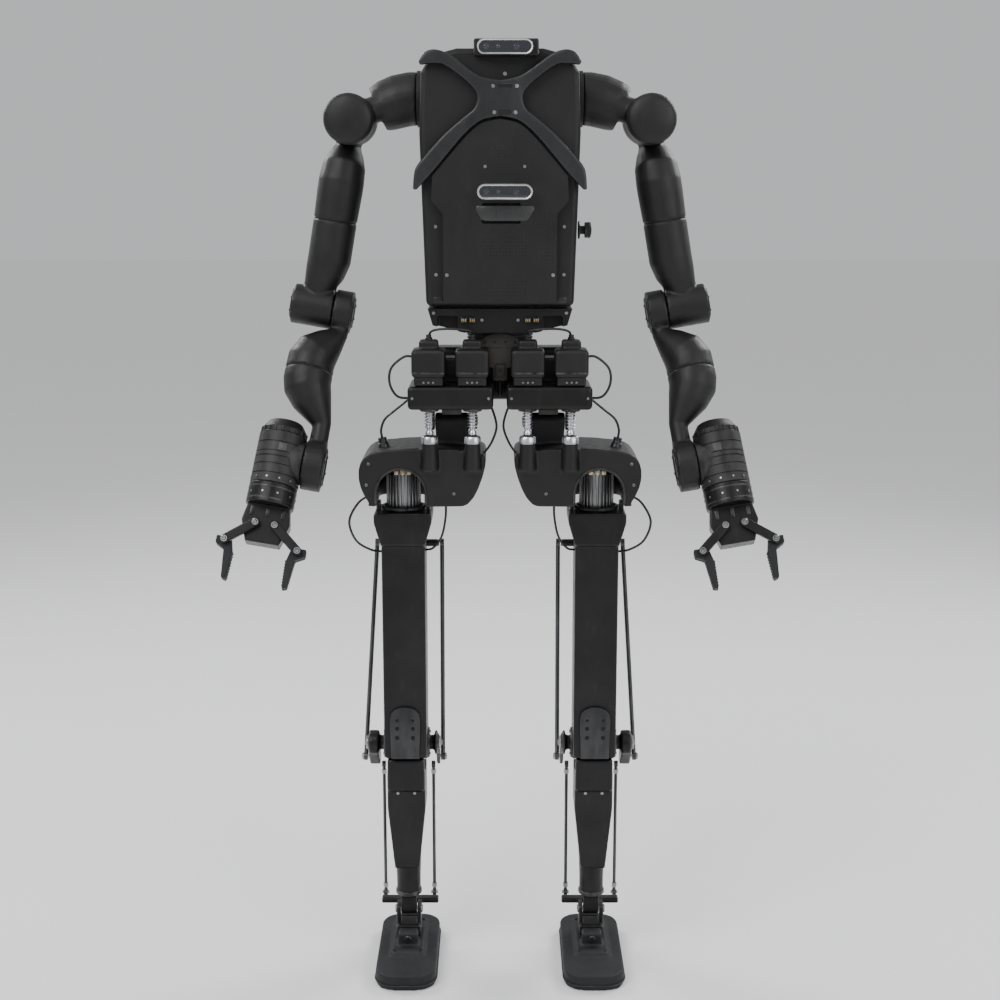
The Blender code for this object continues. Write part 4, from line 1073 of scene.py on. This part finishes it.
def cables(name, side):
    """The loops at the motors, the casing and the thigh, given for the left side and mirrored for the right."""
    hip, casing, thigh = f"{name}_hip", f"{name}_hip_casing", f"{name}_thigh"
    back = 0.009 if side > 0 else 0.0  # sets the two inner cables side by side where they pass

    def mirrored(*knots):
        return [(side * x, y, z) for x, y, z in knots]

    loop = mirrored(
        (0.143, -0.105, 1.118), (0.160, -0.105, 1.117), (0.181, -0.102, 1.098),
        (0.184, -0.098, 1.072), (0.172, -0.092, 1.050), (0.150, -0.088, 1.046),
    )
    cable(f"{name}_motor_cable", loop, 0.0042, hip)
    arch = mirrored(
        (0.118, -0.104, 1.152), (0.112, -0.114, 1.161), (0.092, -0.121, 1.165),
        (0.066, -0.120, 1.164), (0.048, -0.112, 1.160), (0.046, -0.104, 1.152),
    )
    cable(f"{name}_bridge_cable", arch, 0.0040, hip)
    boss = mirrored(
        (0.2018, -0.050, 0.973), (0.2030, -0.050, 0.988), (0.196, -0.052, 1.006),
        (0.180, -0.055, 1.020), (0.163, -0.058, 1.034), (0.152, -0.060, 1.044),
    )
    bend = (side * 0.202, MID_Y - 0.050, 0.975), (side * 0.152, MID_Y - 0.060, 1.040)
    cable(f"{name}_casing_cable", boss, 0.0042, casing, (hip, *bend))
    inner = mirrored(
        (0.018, -0.052, 1.034), (0.010, -0.056 + back, 1.014), (0.006, -0.060 + back, 0.992),
        (0.014, -0.062 + back, 0.968), (0.026, -0.060, 0.950), (0.037, -0.060, 0.940),
    )
    cable(f"{name}_inner_cable", inner, 0.0040, hip, crossing(casing, inner))
    outer = mirrored(
        (0.224, -0.040, 0.872), (0.245, -0.042, 0.858), (0.261, -0.045, 0.826),
        (0.250, -0.043, 0.792), (0.226, -0.036, 0.774), (0.205, -0.026, 0.768),
    )
    cable(f"{name}_thigh_cable", outer, 0.0042, casing, crossing(thigh, outer))
    short = mirrored(
        (0.094, -0.040, 0.867), (0.094, -0.042, 0.835), (0.101, -0.045, 0.800),
        (0.116, -0.040, 0.778), (0.131, -0.030, 0.772),
    )
    cable(f"{name}_thigh_inner_cable", short, 0.0040, casing, crossing(thigh, short))


for side_name, side_sign in SIDES:
    cables(side_name, side_sign)
torso()
for side_name, side_sign in SIDES:
    arm(side_name, side_sign)
    leg(side_name, side_sign)


# Studio --------------------------------------------------------------------------------------


SENSOR_WIDTH, LENS_LENGTH = 36.0, 56.4  # millimetres
EYE_DISTANCE, EYE_HEIGHT = 2.7, 1.386
EYE_PITCH = math.radians(78.87)


def pale_floor():
    """Smooth pale paint with the faintest unevenness in its sheen."""
    graph = Graph("pale_floor")
    patch = graph.noise(0.5, 2.0)
    graph.set("Base Color", graph.blend(patch, (0.79, 0.79, 0.785), (0.81, 0.81, 0.805)))
    graph.set("Roughness", graph.ramp(patch, 0.3, 0.7, 0.72, 0.80))
    return graph.material


def studio():
    """A pale floor under a pale sky, a camera at the viewing angle and soft lights."""
    scene = bpy.context.scene
    floor_bm = bmesh.new()
    bmesh.ops.create_grid(floor_bm, x_segments=1, y_segments=1, size=30.0)
    mesh = bpy.data.meshes.new("floor")
    floor_bm.to_mesh(mesh)
    floor_bm.free()
    mesh.materials.append(pale_floor())
    floor = bpy.data.objects.new("floor", mesh)
    floor.location.z = -0.0005
    scene.collection.objects.link(floor)
    world = bpy.data.worlds.new("sky")
    world.use_nodes = True
    world.node_tree.nodes["Background"].inputs["Color"].default_value = (0.92, 0.93, 0.95, 1)
    world.node_tree.nodes["Background"].inputs["Strength"].default_value = 0.62
    scene.world = world
    for name, place, size, power in (
        ("key", (-2.0, -2.4, 3.6), 2.2, 95),
        ("fill", (2.6, -2.4, 2.4), 2.6, 55),
        ("rim_left", (-2.2, 1.8, 2.8), 1.4, 65),
        ("rim_right", (2.2, 1.8, 2.8), 1.4, 75),
    ):
        light = bpy.data.lights.new(name, "AREA")
        light.size = size
        light.energy = power
        lamp = bpy.data.objects.new(name, light)
        lamp.location = place
        lamp.rotation_euler = (Vector((0, 0, 1.0)) - Vector(place)).to_track_quat("-Z", "Y").to_euler()
        scene.collection.objects.link(lamp)
    haze = bpy.data.lights.new("haze", "SUN")
    haze.energy = 0.35
    haze.angle = math.radians(40)
    lamp = bpy.data.objects.new("haze", haze)
    lamp.rotation_euler = (math.radians(18), math.radians(-10), 0)
    scene.collection.objects.link(lamp)
    camera = bpy.data.cameras.new("camera")
    camera.sensor_width = SENSOR_WIDTH
    camera.lens = LENS_LENGTH
    eye = bpy.data.objects.new("camera", camera)
    eye.location = (0.0, MID_Y - EYE_DISTANCE, EYE_HEIGHT)
    eye.rotation_euler = (EYE_PITCH, 0, 0)
    scene.collection.objects.link(eye)
    scene.camera = eye


studio()
